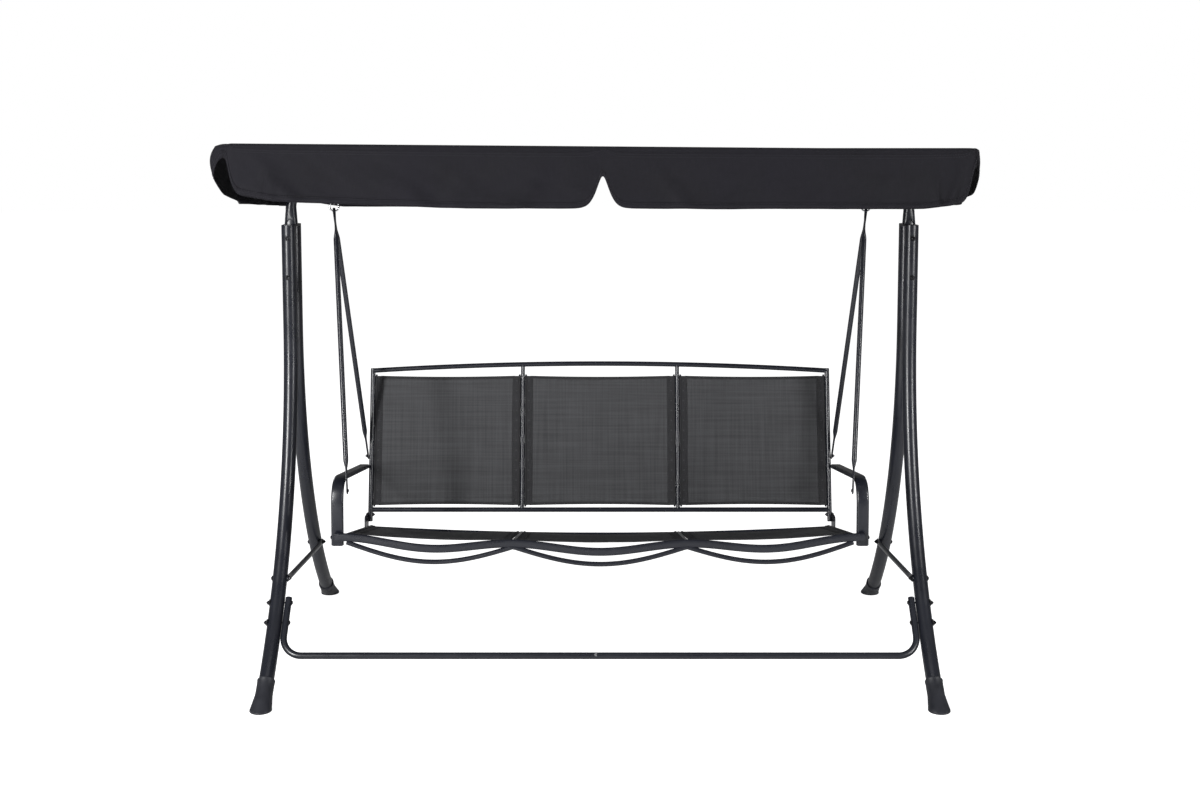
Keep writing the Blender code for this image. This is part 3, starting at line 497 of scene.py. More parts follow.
def add_nut(shape, base, out, radius=0.0062, rise=0.0050, stub=0.0030):
    """A chamfered hexagon nut with the bolt's rounded end standing out of it."""
    side = out.orthogonal().normalized()
    up = out.cross(side)
    for height_shares, sides, size in (
        (((0, 0.94), (0.1, 1.0), (0.85, 1.0), (1.0, 0.90)), 6, radius),
        (((0.9, 1.0), (1.0 + stub / rise * 0.7, 1.0), (1.0 + stub / rise, 0.7)), 16, radius * 0.5),
    ):
        rings = []
        for height, share in height_shares:
            centre = base + out * rise * height
            rings.append([centre + side * a + up * b for a, b in circle(size * share, sides)])
        shape.skin(rings)


def add_washer(shape, base, out, radius=0.0085, thick=0.0012):
    add_turned(shape, base, out, ((0, radius), (thick * 0.7, radius), (thick, radius * 0.95)), 28)


def add_through_bolt(shape, place, out, head_side, nut_side):
    """A bolt along an axis. head_side and nut_side are the distances from place to the two faces."""
    add_washer(shape, place + out * head_side, out)
    add_screw_head(shape, place + out * (head_side + 0.0012), out)
    add_washer(shape, place - out * nut_side, -out)
    add_nut(shape, place - out * (nut_side + 0.0012), -out)
    add_turned(shape, place - out * nut_side, out, ((0, 0.003), (head_side + nut_side, 0.003)), 12)


def add_stitches(shape, points, out, radius=0.00035):
    """Short raised stitches along a line. out gives the surface's outward direction at a fraction of the line."""
    lengths = [0.0]
    for a, b in zip(points, points[1:]):
        lengths.append(lengths[-1] + (b - a).length)
    place = STITCH_PITCH / 2
    index = 0
    while place + STITCH < lengths[-1]:
        while lengths[index + 1] < place:
            index += 1
        along = (points[index + 1] - points[index]).normalized()
        start = points[index] + along * (place - lengths[index])
        lift = out(start)
        side = along.cross(lift).normalized()
        rings = []
        for t, share in ((0.0, 0.4), (0.2, 1.0), (0.8, 1.0), (1.0, 0.4)):
            centre = start + along * STITCH * t + lift * radius * 0.6
            rings.append([centre + (side * a + lift * b) * share for a, b in circle(radius, 6)])
        shape.skin(rings)
        place += STITCH_PITCH


# ---- Camera, light and stage --------------------------------------------------------------------
CAMERA_PLACE = Vector((0.0, -4.877, 1.673))
PICTURE_WIDTH = 1200
FOCAL_PIXELS = 1516         # focal length in widths of one picture element
CAMERA_PITCH = math.radians(3.5)
HORIZON_RISE = 266          # the level horizon stands this far above the picture's middle


def make_camera():
    data = bpy.data.cameras.new("camera")
    data.sensor_width = 36.0
    data.lens = data.sensor_width * FOCAL_PIXELS / PICTURE_WIDTH
    data.shift_y = -(HORIZON_RISE - FOCAL_PIXELS * math.tan(CAMERA_PITCH)) / PICTURE_WIDTH
    data.clip_end = 200
    camera = bpy.data.objects.new("camera", data)
    camera.location = CAMERA_PLACE
    camera.rotation_euler = (math.pi / 2 - CAMERA_PITCH, 0, 0)
    bpy.context.scene.collection.objects.link(camera)
    bpy.context.scene.camera = camera


def add_softbox(name, place, target, size, power):
    data = bpy.data.lights.new(name, "AREA")
    data.shape = "RECTANGLE"
    data.size, data.size_y = size
    data.energy = power
    light = bpy.data.objects.new(name, data)
    light.location = place
    light.rotation_mode = "QUATERNION"
    light.rotation_quaternion = (Vector(target) - Vector(place)).to_track_quat("-Z", "Y")
    bpy.context.scene.collection.objects.link(light)


ROOM_LIGHT = 0.13           # the walls' brightness, against a white of 1


def make_studio():
    world = bpy.data.worlds.new("studio")
    world.use_nodes = True
    seen = world.node_tree.nodes["Background"]
    seen.inputs["Color"].default_value = (1, 1, 1, 1)
    seen.inputs["Strength"].default_value = 1.0
    room = world.node_tree.nodes.new("ShaderNodeBackground")
    room.inputs["Color"].default_value = (1, 1, 1, 1)
    room.inputs["Strength"].default_value = ROOM_LIGHT
    path = world.node_tree.nodes.new("ShaderNodeLightPath")
    mixed = world.node_tree.nodes.new("ShaderNodeMixShader")
    links = world.node_tree.links
    links.new(path.outputs["Is Camera Ray"], mixed.inputs[0])
    links.new(room.outputs[0], mixed.inputs[1])
    links.new(seen.outputs[0], mixed.inputs[2])
    links.new(mixed.outputs[0], world.node_tree.nodes["World Output"].inputs["Surface"])
    bpy.context.scene.world = world
    bpy.context.scene.view_settings.view_transform = "Standard"
    add_softbox("key_left", (-3.2, -4.2, 2.0), (-0.4, 0, 0.9), (0.50, 2.3), 250)
    add_softbox("key_right", (3.8, -3.4, 2.0), (0.4, 0, 0.9), (0.45, 2.2), 120)
    add_softbox("overhead", (0, -1.0, 4.4), (0, 0, 0.5), (3.2, 1.4), 14)
    add_softbox("back_left", (-3.4, 3.6, 2.4), (0, 0, 0.8), (0.8, 2.2), 35)
    add_softbox("back_right", (3.4, 3.6, 2.4), (0, 0, 0.8), (0.8, 2.2), 28)
    g = Graph("pale_floor", (0.86, 0.86, 0.86), 0.9, Specular_IOR_Level=0.1)
    g.shader.inputs["Emission Color"].default_value = (1, 1, 1, 1)
    seen = g.node("LightPath").outputs["Is Camera Ray"]
    g.tree.links.new(g.math("MULTIPLY", seen, 0.93), g.shader.inputs["Emission Strength"])
    g.colour(g.ramp(g.noise(1.5, 3.0), (0.855, 0.855, 0.86), (0.875, 0.875, 0.875), 0.3, 0.7))
    turns = [2 * math.pi * i / FLOOR_SIDES for i in range(FLOOR_SIDES)]
    rim = [(FLOOR_RADIUS * math.cos(a), FLOOR_RADIUS * math.sin(a), FLOOR_Z) for a in turns]
    mesh = bpy.data.meshes.new("floor")
    mesh.from_pydata(rim, [], [tuple(range(FLOOR_SIDES))])
    mesh.materials.append(g.material)
    stage = bpy.data.objects.new("floor", mesh)
    bpy.context.scene.collection.objects.link(stage)


# ---- Standing frame -----------------------------------------------------------------------------
def leg_x(z):
    return LEG_X_FOOT + (LEG_X_TOP - LEG_X_FOOT) * z / LEG_TOP_Z


def leg_offset(z):
    """Distance of a leg's centre line from the middle plane at a height."""
    if z >= LEG_BEND_Z:
        return LEG_OFFSET
    drop = LEG_BEND_Z - z
    return LEG_OFFSET + LEG_BEND_RADIUS - math.sqrt(LEG_BEND_RADIUS ** 2 - drop ** 2)


def leg_point(side, end, z):
    return Vector((side * leg_x(z), end * leg_offset(z), z))


def leg_slope(z):
    return math.asin(max(0.0, LEG_BEND_Z - z) / LEG_BEND_RADIUS)


def bar_direction():
    slope = leg_slope((BAR_TOP_Z + BAR_Z) / 2)
    return Vector((0, -math.sin(slope), -math.cos(slope)))


def bar_end(side):
    at = leg_point(side, -1, BAR_TOP_Z)
    return at - X_AXIS * side * (LEG_RADIUS + BAR_RADIUS + 0.0016)


def make_legs():
    for side_name, side in LEFT_RIGHT:
        for end_name, end in FRONT_REAR:
            steps = 44
            last = leg_slope(FOOT_LIP_Z)
            heights = [LEG_TOP_Z, (LEG_TOP_Z + LEG_BEND_Z) / 2, LEG_BEND_Z]
            heights += [LEG_BEND_Z - LEG_BEND_RADIUS * math.sin(last * i / steps) for i in range(1, steps + 1)]
            heights.append(LEG_END_Z)
            path = [leg_point(side, end, z) for z in heights]
            shape = Shape()
            add_bar(shape, path, X_AXIS, circle(LEG_RADIUS, LEG_SIDES), 0.0002)
            node = f"leg_{end_name}_{side_name}"
            piece(f"{node}_tube", shape, "steel", "frame", [node])


def make_feet():
    """Caps with a rolled lip, a neck and a round pad."""
    for side_name, side in LEFT_RIGHT:
        for end_name, end in FRONT_REAR:
            tube_end = leg_point(side, end, LEG_END_Z)
            lip = leg_point(side, end, FOOT_LIP_Z)
            along = (tube_end - lip).normalized()
            up = along.cross(X_AXIS)
            pad = Vector((tube_end.x, tube_end.y + end * FOOT_PAD_REACH, 0))
            flat = Vector((0, -end * math.copysign(1, up.y * -end), 0))

            def tilted(distance, radius):
                centre = lip + along * distance
                return [centre + X_AXIS * a + up * b for a, b in circle(radius, LEG_SIDES)]

            def level(z, radius):
                centre = pad + Z_AXIS * z
                return [centre + X_AXIS * a + flat * b for a, b in circle(radius, LEG_SIDES)]

            reach = (tube_end - lip).length
            neck = tilted(reach + 0.006, FOOT_CAP_RADIUS * 0.985)
            shoulder = level(FOOT_PAD_HEIGHT, FOOT_RADIUS * 0.99)
            rings = [tilted(0.0004, LEG_RADIUS + 0.0004), tilted(0, FOOT_CAP_RADIUS * 0.97)]
            rings += [tilted(0.0015, FOOT_CAP_RADIUS * 1.02), tilted(0.0045, FOOT_CAP_RADIUS * 1.02)]
            rings += [tilted(0.0060, FOOT_CAP_RADIUS * 0.985), tilted(reach * 0.6, FOOT_CAP_RADIUS * 0.98)]
            rings.append(neck)
            for t in (0.2, 0.4, 0.6, 0.8):
                ease = t * t * (3 - 2 * t)
                rings.append([n.lerp(s, t * 0.5 + ease * 0.5) for n, s in zip(neck, shoulder)])
            rings += [shoulder, level(FOOT_PAD_HEIGHT * 0.8, FOOT_RADIUS), level(FOOT_PAD_HEIGHT * 0.3, FOOT_RADIUS)]
            rings.append(level(0.0003, FOOT_RADIUS * 0.96))
            shape = Shape()
            shape.skin(rings)
            node = f"foot_cap_{end_name}_{side_name}"
            piece(f"{node}_moulded", shape, "plastic", "frame", [node])


def make_crossbars():
    for side_name, side in LEFT_RIGHT:
        down = bar_direction()
        top = bar_end(side)
        inward = -X_AXIS * side
        length = (BAR_TOP_Z - BAR_Z) / -down.z
        centre = top + down * (length - BAR_BEND_RADIUS) + inward * BAR_BEND_RADIUS
        points = [top, top + down * (length - BAR_BEND_RADIUS) * 0.6]
        for i in range(17):
            angle = math.pi / 2 * i / 16
            turn = down * math.sin(angle) - inward * math.cos(angle)
            points.append(centre + turn * BAR_BEND_RADIUS)
        level = points[-1]
        joint = BAR_JOINT_X + (0.0002 if side > 0 else -0.0002)
        points += [Vector(((level.x + joint) / 2, level.y, level.z)), Vector((joint, level.y, level.z))]
        shape = Shape()
        add_bar(shape, points, down.cross(X_AXIS), circle(BAR_RADIUS), 0.0002)
        node = f"lower_crossbar_{side_name}"
        piece(f"{node}_tube", shape, "steel", "frame", [node])
        if side > 0:
            button = Shape()
            place = Vector((BAR_JOINT_X + 0.018, level.y, level.z))
            out = Vector((0, -0.8, 0.6))
            profile = ((0.0085, 0.0042), (0.0105, 0.0040), (0.0118, 0.0030), (0.0123, 0.0012))
            add_turned(button, place, out, profile, 18)
            piece("crossbar_snap_button", button, "chrome", "frame")


def add_flat_bar(shape, start, end, normal, radius, flat_length):
    """A tube with both ends pressed flat and rounded. The flats' faces look along the normal."""
    along = (end - start).normalized()
    length = (end - start).length
    tip = FLAT_HALF_WIDE
    flat = outline(FLAT_HALF_THICK, FLAT_HALF_WIDE, FLAT_HALF_THICK)
    tube = circle(radius)
    places = []
    for i in range(6):
        angle = math.pi / 2 * i / 5
        wide = FLAT_HALF_WIDE * math.sin(max(angle, 0.12))
        places.append((-tip * math.cos(angle), outline(FLAT_HALF_THICK, max(wide, 0.0016), FLAT_HALF_THICK)))
    places.append((flat_length - tip, flat))
    for i in range(1, 9):
        t = i / 8
        ease = t * t * (3 - 2 * t)
        places.append((flat_length - tip + FLAT_BLEND * t, between(flat, tube, ease)))
    points = [start + along * place for place, _ in places]
    points += [start + along * (length - place) for place, _ in places[::-1]]
    shapes = [section for _, section in places] + [section for _, section in places[::-1]]
    shape.skin(sweep_rings(points, normal, shapes))


def make_ties():
    for side_name, side in LEFT_RIGHT:
        inset = X_AXIS * side * (LEG_RADIUS + GAP + FLAT_HALF_THICK)
        ends = [leg_point(side, -1, TIE_FRONT_Z), leg_point(side, 1, TIE_REAR_Z)]
        shape = Shape()
        add_flat_bar(shape, ends[0] - inset, ends[1] - inset, X_AXIS, TIE_RADIUS, TIE_FLAT_LENGTH)
        node = f"side_tie_{side_name}"
        piece(f"{node}_tube", shape, "steel", "frame", [node])
        bolts = Shape()
        for at in ends:
            face = LEG_RADIUS + 2 * GAP + 2 * FLAT_HALF_THICK
            add_through_bolt(bolts, at, X_AXIS * side, LEG_RADIUS * 1.0, face)
        piece(f"side_tie_bolts_{side_name}", bolts, "bolt", "frame")


def make_frame_bolts():
    for side_name, side in LEFT_RIGHT:
        for end_name, end in FRONT_REAR:
            for level, z in zip(("upper", "lower"), LEG_BOLT_HEIGHTS):
                shape = Shape()
                out = Y_AXIS * end
                add_through_bolt(shape, leg_point(side, end, z), out, LEG_RADIUS - 0.0006, LEG_RADIUS - 0.0012)
                node = f"leg_bolt_{end_name}_{level}_{side_name}"
                piece(f"{node}_detailed", shape, "bolt", "frame", [node])
        for level, drop in zip(("upper", "lower"), BAR_BOLT_DROPS):
            place = bar_end(side) + bar_direction() * drop
            shape = Shape()
            out = -X_AXIS * side
            outer = BAR_RADIUS + 2 * LEG_RADIUS + 0.0016
            add_through_bolt(shape, place, out, BAR_RADIUS - 0.0008, outer + 0.0010)
            add_saddle(shape, place - out * (BAR_RADIUS + 0.0016 + LEG_RADIUS), -out)
            node = f"crossbar_bolt_{level}_{side_name}"
            piece(f"{node}_detailed", shape, "bolt", "frame", [node])


def add_saddle(shape, centre, out):
    """A curved washer that fits round the outer side of a leg."""
    down = bar_direction()
    across = out.cross(down).normalized()
    rings = []
    for i in range(13):
        angle = math.radians(-42 + 84 * i / 12)
        radial = out * math.cos(angle) + across * math.sin(angle)
        inner = centre + radial * (LEG_RADIUS + 0.0002)
        outer = centre + radial * (LEG_RADIUS + 0.0022)
        half = 0.0085 * math.sqrt(max(0.05, 1 - (angle / math.radians(46)) ** 2))
        rings.append([inner - down * half, outer - down * half, outer + down * half, inner + down * half])
    shape.skin(rings)


def finish_frame_nodes():
    """Smooth copies of the pieces whose CAD shape is already right."""
    for side_name, _ in LEFT_RIGHT:
        for node, finish in (("top_beam", "steel"), ("apex_bracket", "steel"), ("canopy_bracket", "steel"),
                             ("canopy_knob", "plastic"), ("hanger_eye", "chrome")):
            smooth_copy(f"{node}_{side_name}", finish, "frame")
        smooth_copy(f"backrest_plate_{side_name}", "steel", "seat")
    finish_canopy_frame()


def finish_canopy_frame():
    """The rails and ribs as round tubes, with the pivot tabs under the outer ribs."""
    half_x, half_y = CANOPY_HALF
    inset = CANOPY_TUBE * 0.95
    reach_x, reach_y = half_x - CANOPY_ELBOW, half_y - CANOPY_ELBOW
    runs = {f"canopy_rail_{name}": ((side * half_x, -reach_y), (side * half_x, reach_y)) for name, side in LEFT_RIGHT}
    elbows = Shape()
    for name, end in FRONT_REAR:
        runs[f"canopy_rail_{name}"] = ((-reach_x, end * half_y), (reach_x, end * half_y))
        for side in (-1, 1):
            points = []
            for i in range(9):
                angle = math.pi / 2 * i / 8
                x = side * (reach_x + CANOPY_ELBOW * math.sin(angle))
                y = end * (reach_y + CANOPY_ELBOW * math.cos(angle))
                points.append(tilted(Vector((x, y, CANOPY_FRAME_Z))))
            add_bar(elbows, points, Z_AXIS, circle(CANOPY_TUBE * 1.02), 0.0002)
    piece("canopy_frame_elbows", elbows, "steel", "canopy")
    for name, side in (("left", -1), ("middle", 0), ("right", 1)):
        x = side * CANOPY_RIB_X
        runs[f"canopy_rib_{name}"] = ((x, inset - half_y), (x, half_y - inset))
    for node, ends in runs.items():
        shape = Shape()
        points = [tilted(Vector((*end, CANOPY_FRAME_Z))) for end in ends]
        add_bar(shape, points, Z_AXIS, circle(CANOPY_TUBE))
        x = ends[0][0]
        if "rib" in node and x:
            rings = []
            for y, drop in ((-0.014, 0.006), (-0.011, 0.012), (0.011, 0.012), (0.014, 0.006)):
                low, high = CANOPY_PIVOT_Z - drop, CANOPY_FRAME_Z - 0.002
                corners = ((-0.002, low), (0.002, low), (0.002, high), (-0.002, high))
                rings.append([tilted(Vector((x + dx, y, z))) for dx, z in corners])
            shape.skin(rings)
        piece(f"{node}_tube", shape, "steel", "canopy", [node])


# ---- Hanging seat -------------------------------------------------------------------------------
def seat_point(x, along, lift=0.0):
    """A point on the seat plane: along is the distance from the front, lift is square to the plane."""
    bow = SEAT_BOW * (1 - (x / SEAT_RAIL_X) ** 2)
    y = SEAT_FRONT_Y + along * math.cos(SEAT_SLOPE) + lift * math.sin(SEAT_SLOPE)
    z = SEAT_FRONT_Z - along * math.sin(SEAT_SLOPE) + lift * math.cos(SEAT_SLOPE)
    return Vector((x, y, z - bow))


def back_point(x, along, lift=0.0):
    """A point on the backrest plane: along is the distance up the side tubes, lift is towards the front."""
    y = BACK_FOOT_Y + along * math.sin(BACK_LEAN) - lift * math.cos(BACK_LEAN)
    z = BACK_FOOT_Z + along * math.cos(BACK_LEAN) + lift * math.sin(BACK_LEAN)
    return Vector((x, y, z))


def back_top(x):
    return BACK_LENGTH + BACK_ARCH * (1 - (x / BACK_X) ** 2)


def panel_fraction(x):
    """Where x lies across its seat panel, from 0 to 1."""
    if abs(x) <= DIVIDER_X:
        return (x + DIVIDER_X) / (2 * DIVIDER_X)
    return min(1.0, (abs(x) - DIVIDER_X) / (SEAT_RAIL_X - DIVIDER_X))


def front_rail_point(x):
    bow = SEAT_BOW * max(0.0, 1 - (x / SEAT_RAIL_X) ** 2)
    wave = (1 - math.cos(2 * math.pi * panel_fraction(x))) / 2
    return Vector((x, FRONT_RAIL_Y - FRONT_SCALLOP_REACH * wave,
                   SEAT_FRONT_Z - bow - FRONT_SCALLOP_DROP * wave))


def lower_rod_point(x):
    bow = LOWER_ROD_BOW * max(0.0, 1 - (x / SEAT_RAIL_X) ** 2)
    wave = math.sin(math.pi * panel_fraction(x))
    return Vector((x, FRONT_RAIL_Y - FRONT_SCALLOP_REACH * wave * 0.5,
                   LOWER_ROD_END_Z - bow - LOWER_ROD_DROP * wave))


def spread(limit, count):
    """Evenly spaced values from -limit to limit."""
    return [limit * (2 * i / count - 1) for i in range(count + 1)]


def make_seat_frame():
    shape = Shape()
    rail = outline(*FRONT_RAIL_HALF, FRONT_RAIL_HALF[0])
    add_bar(shape, [front_rail_point(x) for x in spread(FRONT_RAIL_X, 160)], Y_AXIS, rail)
    add_bar(shape, [lower_rod_point(x) for x in spread(SEAT_RAIL_X, 159)], Y_AXIS, circle(LOWER_ROD_RADIUS))
    add_bar(shape, [seat_point(x, SEAT_DEPTH) for x in spread(SEAT_RAIL_X, 40)], Y_AXIS, circle(REAR_RAIL_RADIUS))
    for side in (-1, 1):
        ends = [seat_point(side * SEAT_RAIL_X, along) for along in (0.0, SEAT_DEPTH)]
        ends[0].y = FRONT_RAIL_Y
        add_bar(shape, ends, X_AXIS, outline(*SEAT_RAIL_HALF, SEAT_RAIL_HALF[0]))
        ends = [seat_point(side * DIVIDER_X, along) for along in (-0.004, SEAT_DEPTH)]
        add_bar(shape, ends, X_AXIS, outline(*DIVIDER_HALF, DIVIDER_HALF[0]))
        collar = [front_rail_point(side * (FRONT_RAIL_X - shift)) for shift in (0.011, -0.002)]
        collar[0].z = collar[1].z
        add_bar(shape, collar, Y_AXIS, outline(FRONT_RAIL_HALF[0] * 1.06, FRONT_RAIL_HALF[1] * 1.1, 0.006))
        for x, along, radius in ((SEAT_RAIL_X, SEAT_DEPTH, 0.0105), (DIVIDER_X, SEAT_DEPTH, 0.0100)):
            place = seat_point(side * x, along - 0.007)
            direction = seat_point(side * x, along) - seat_point(side * x, 0)
            add_torus(shape, place, direction, radius - 0.0015, 0.0022, 28, 8)
    piece("seat_frame_welded", shape, "steel", "seat", ["seat_frame"])


def make_back_frame():
    shape = Shape()
    tube = circle(BACK_TUBE_RADIUS)
    add_bar(shape, [back_point(x, back_top(x)) for x in spread(BACK_X, 60)], Y_AXIS, tube)
    add_bar(shape, [back_point(x, BACK_LOWER_RAIL) for x in (-BACK_X, BACK_X)], Y_AXIS, tube)
    up = (back_point(0, 1) - back_point(0, 0)).normalized()
    for side in (-1, 1):
        x = side * BACK_X
        ends = [back_point(x, along) for along in (0, BACK_LENGTH + BACK_TUBE_RADIUS * 0.9)]
        add_bar(shape, ends, X_AXIS, tube)
        add_torus(shape, back_point(x - side * 0.0075, BACK_LOWER_RAIL), X_AXIS, 0.0077, 0.0018, 28, 8)
        x = side * DIVIDER_X
        ends = [back_point(x, along) for along in (BACK_LOWER_RAIL, back_top(x))]
        add_bar(shape, ends, X_AXIS, circle(BACK_POST_RADIUS))
        for along in (BACK_LOWER_RAIL + 0.0068, back_top(x) - 0.0068):
            add_torus(shape, back_point(x, along), up, 0.0066, 0.0017, 28, 8)
    piece("backrest_frame_welded", shape, "steel", "seat", ["backrest_frame"])


def make_armrest(side_name, side):
    x = side * ARM_X
    rear = Vector((x, *ARM_REAR))
    corner = Vector((x, ARM_POST_Y, ARM_FRONT_Z + 0.008))
    back_way = (rear - corner).normalized()
    reach = ARM_BEND_RADIUS * math.tan((math.pi - back_way.angle(-Z_AXIS)) / 2)
    start = corner + back_way * reach
    finish_point = corner - Z_AXIS * reach
    points = [rear, rear.lerp(start, 0.5)]
    for i in range(25):
        t = i / 24
        points.append(start * (1 - t) ** 2 + corner * 2 * t * (1 - t) + finish_point * t ** 2)
    points.append(Vector((x, ARM_POST_Y, ARM_FOOT_Z)))
    shape = Shape()
    add_bar(shape, points, X_AXIS, outline(*ARM_HALF, ARM_HALF[1], 32), 0.0015)
    node = f"armrest_{side_name}"
    piece(f"{node}_tube", shape, "steel", "seat", [node])


def make_hangers(side_name, side):
    for end_name, low in (("front", HANGER_FRONT_END), ("rear", HANGER_REAR_END)):
        shift = (FLAT_HALF_THICK + GAP) * (1 if end_name == "front" else -1)
        start = Vector((side * (RING_X - shift), 0, PIVOT_Z - 2 * RING_RADIUS))
        end = Vector((side * low[0], low[1], low[2]))
        shape = Shape()
        add_flat_bar(shape, start, end, X_AXIS, HANGER_RADIUS, HANGER_FLAT_LENGTH)
        node = f"hanger_{end_name}_{side_name}"
        piece(f"{node}_tube", shape, "steel", "seat", [node])
    shape = Shape()
    add_torus(shape, Vector((side * RING_X, 0, PIVOT_Z - RING_RADIUS)), Y_AXIS, RING_RADIUS, RING_WIRE, 56)
    node = f"hanger_ring_{side_name}"
    piece(f"{node}_wire", shape, "chrome", "seat", [node])


def make_seat_bolts(side_name, side):
    """Bolts of the hangers, the armrest and the backrest's plate."""
    shape = Shape()
    out = X_AXIS * side
    front = Vector((side * HANGER_FRONT_END[0], HANGER_FRONT_END[1], HANGER_FRONT_END[2]))
    add_screw_head(shape, front - out * (FLAT_HALF_THICK + 0.0002), -out, 0.0058)
    rear = Vector((side * HANGER_REAR_END[0], HANGER_REAR_END[1], HANGER_REAR_END[2]))
    add_nut(shape, rear + out * FLAT_HALF_THICK, out, 0.0056)
    add_screw_head(shape, Vector((side * (BACK_X - BACK_TUBE_RADIUS + 0.0008), rear.y, rear.z)), -out, 0.0052)
    foot = Vector((side * (ARM_X + ARM_HALF[0]), ARM_POST_Y, SEAT_FRONT_Z - 0.004))
    add_screw_head(shape, foot - out * 0.0008, out, 0.0056)
    for drop in (0.006, -0.020):
        place = back_point(side * BACK_X, 0.016 + drop)
        add_screw_head(shape, place + out * (BACK_TUBE_RADIUS + GAP + 0.003), out, 0.0052)
        if drop > 0:
            add_nut(shape, place - out * (BACK_TUBE_RADIUS - 0.0008), -out, 0.0056)
    piece(f"seat_bolts_{side_name}", shape, "bolt", "seat")


# ---- Slings -------------------------------------------------------------------------------------
def sling_limits(panel):
    """The outer X limits of a panel's two hems, between the tubes that hold them."""
    side_tube = {"back": BACK_TUBE_RADIUS, "seat": SEAT_RAIL_HALF[0]}[panel]
    side_x = {"back": BACK_X, "seat": SEAT_RAIL_X}[panel]
    post = {"back": BACK_POST_RADIUS, "seat": DIVIDER_HALF[0]}[panel]
    outer = side_x - side_tube - SLING_CLEARANCE
    inner = DIVIDER_X + post + SLING_CLEARANCE
    middle = DIVIDER_X - post - SLING_CLEARANCE
    return {"left": (-outer, -inner), "middle": (-middle, middle), "right": (inner, outer)}


def make_sling(node, limits, edges, place, sag):
    """A stretched mesh panel. Each side is wrapped round a rod and sewn down as a black hem."""
    low_x, high_x = limits
    start, end = edges
    inset = SLING_HEM_WIDTH
    half = (high_x - low_x) / 2 - inset * 0.7
    middle_x = (low_x + high_x) / 2
    middle_along = (start + end) / 2
    half_along = (end - start) / 2

    def lie(x, along):
        """The fabric's own place: pulled in a little along the free edges and slack in the middle."""
        across = min(1.0, abs(x - middle_x) / half)
        up = (along - middle_along) / half_along
        waist = 0.0035 * (1 - across ** 2) * up
        ripple = 0.0006 * noise.noise(Vector((x * 14, along * 9, low_x)))
        lift = -sag * (1 - across ** 2) * (1 - 0.35 * up ** 2) + ripple
        return place(x, along - waist, lift)

    columns, rows = 40, 34
    sheet = Shape()
    sheet.grid([
        [lie(middle_x + half * (2 * i / columns - 1), start + (end - start) * k / rows) for i in range(columns + 1)]
        for k in range(rows + 1)
    ])
    mesh = piece(f"{node}_mesh", sheet, "mesh", "seat", [node], thick=0.0010)

    hems, threads, eyelets, rods = Shape(), Shape(), Shape(), Shape()
    radius = SLING_HEM_RADIUS
    up_step = (place(0, 1, 0) - place(0, 0, 0)).normalized()
    out = (place(0, 0, 1) - place(0, 0, 0)).normalized()
    for edge_x, inward in ((low_x, 1), (high_x, -1)):
        section = []
        for i in range(15):
            angle = math.radians(28 + 304 * i / 14)
            section.append((radius - radius * math.cos(math.pi - angle), radius * math.sin(angle)))
        section = [(inset, 0.0011), (radius * 3.2, 0.0014), *section, (radius * 3.2, -0.0014), (inset, -0.0011)]
        edge_x -= inward * SLING_CLEARANCE
        rings = []
        for k in range(rows + 1):
            along = start + (end - start) * k / rows
            pull = 0.0003 * noise.noise(Vector((along * 30, edge_x * 5, 0)))
            rings.append([place(edge_x + inward * (a + pull), along, b) for a, b in section])
        hems.skin(rings)
        for offset in (inset - 0.0030, inset - 0.0085):
            line = [place(edge_x + inward * offset, start + (end - start) * k / rows, 0.0013) for k in range(rows + 1)]
            add_stitches(threads, line, lambda _: out)
        for k in range(13):
            along = start + (end - start) * (k + 0.5) / 13
            spot = place(edge_x + inward * (inset * 0.52), along, 0.0010)
            add_torus(eyelets, spot + out * 0.0004, out, 0.0017, 0.00055, 16, 6)
        ends = [place(edge_x + inward * radius, along, 0) for along in (start - 0.0040, end + 0.0040)]
        add_bar(rods, ends, X_AXIS, circle(radius * 0.78, 16), 0.0008)
    for along, sense in ((start, 1), (end, -1)):
        strip = Shape()
        rings = []
        for i in range(columns + 1):
            x = middle_x + half * (2 * i / columns - 1)
            edge = lie(x, along)
            inner = lie(x, along + sense * 0.0085)
            rings.append([edge + out * 0.0010 - up_step * sense * 0.0006, inner + out * 0.0010,
                          inner - out * 0.0018, edge - out * 0.0018 - up_step * sense * 0.0006])
        strip.skin(rings)
        name = "lower" if sense > 0 else "upper"
        binding = piece(f"{node}_{name}_binding", strip, "hem", "seat")
        line = [lie(middle_x + half * (2 * i / columns - 1), along + sense * 0.0062) + out * 0.0011
                for i in range(columns + 1)]
        add_stitches(threads, line, lambda _: out)
    hem = piece(f"{node}_hems", hems, "hem", "seat")
    rod = piece(f"{node}_rods", rods, "steel", "seat")
    stitching = piece(f"{node}_stitching", threads, "sling_thread", "seat")
    dots = piece(f"{node}_eyelets", eyelets, "eyelet", "seat")


def make_slings():
    for name, limits in sling_limits("back").items():
        make_sling(f"back_sling_{name}", limits, BACK_SLING, back_point, 0.004)

    def raised(x, along, lift=0.0):
        return seat_point(x, along, lift + SEAT_SLING_LIFT - SLING_HEM_RADIUS)

    for name, limits in sling_limits("seat").items():
        make_sling(f"seat_sling_{name}", limits, SEAT_SLING, raised, 0.008)


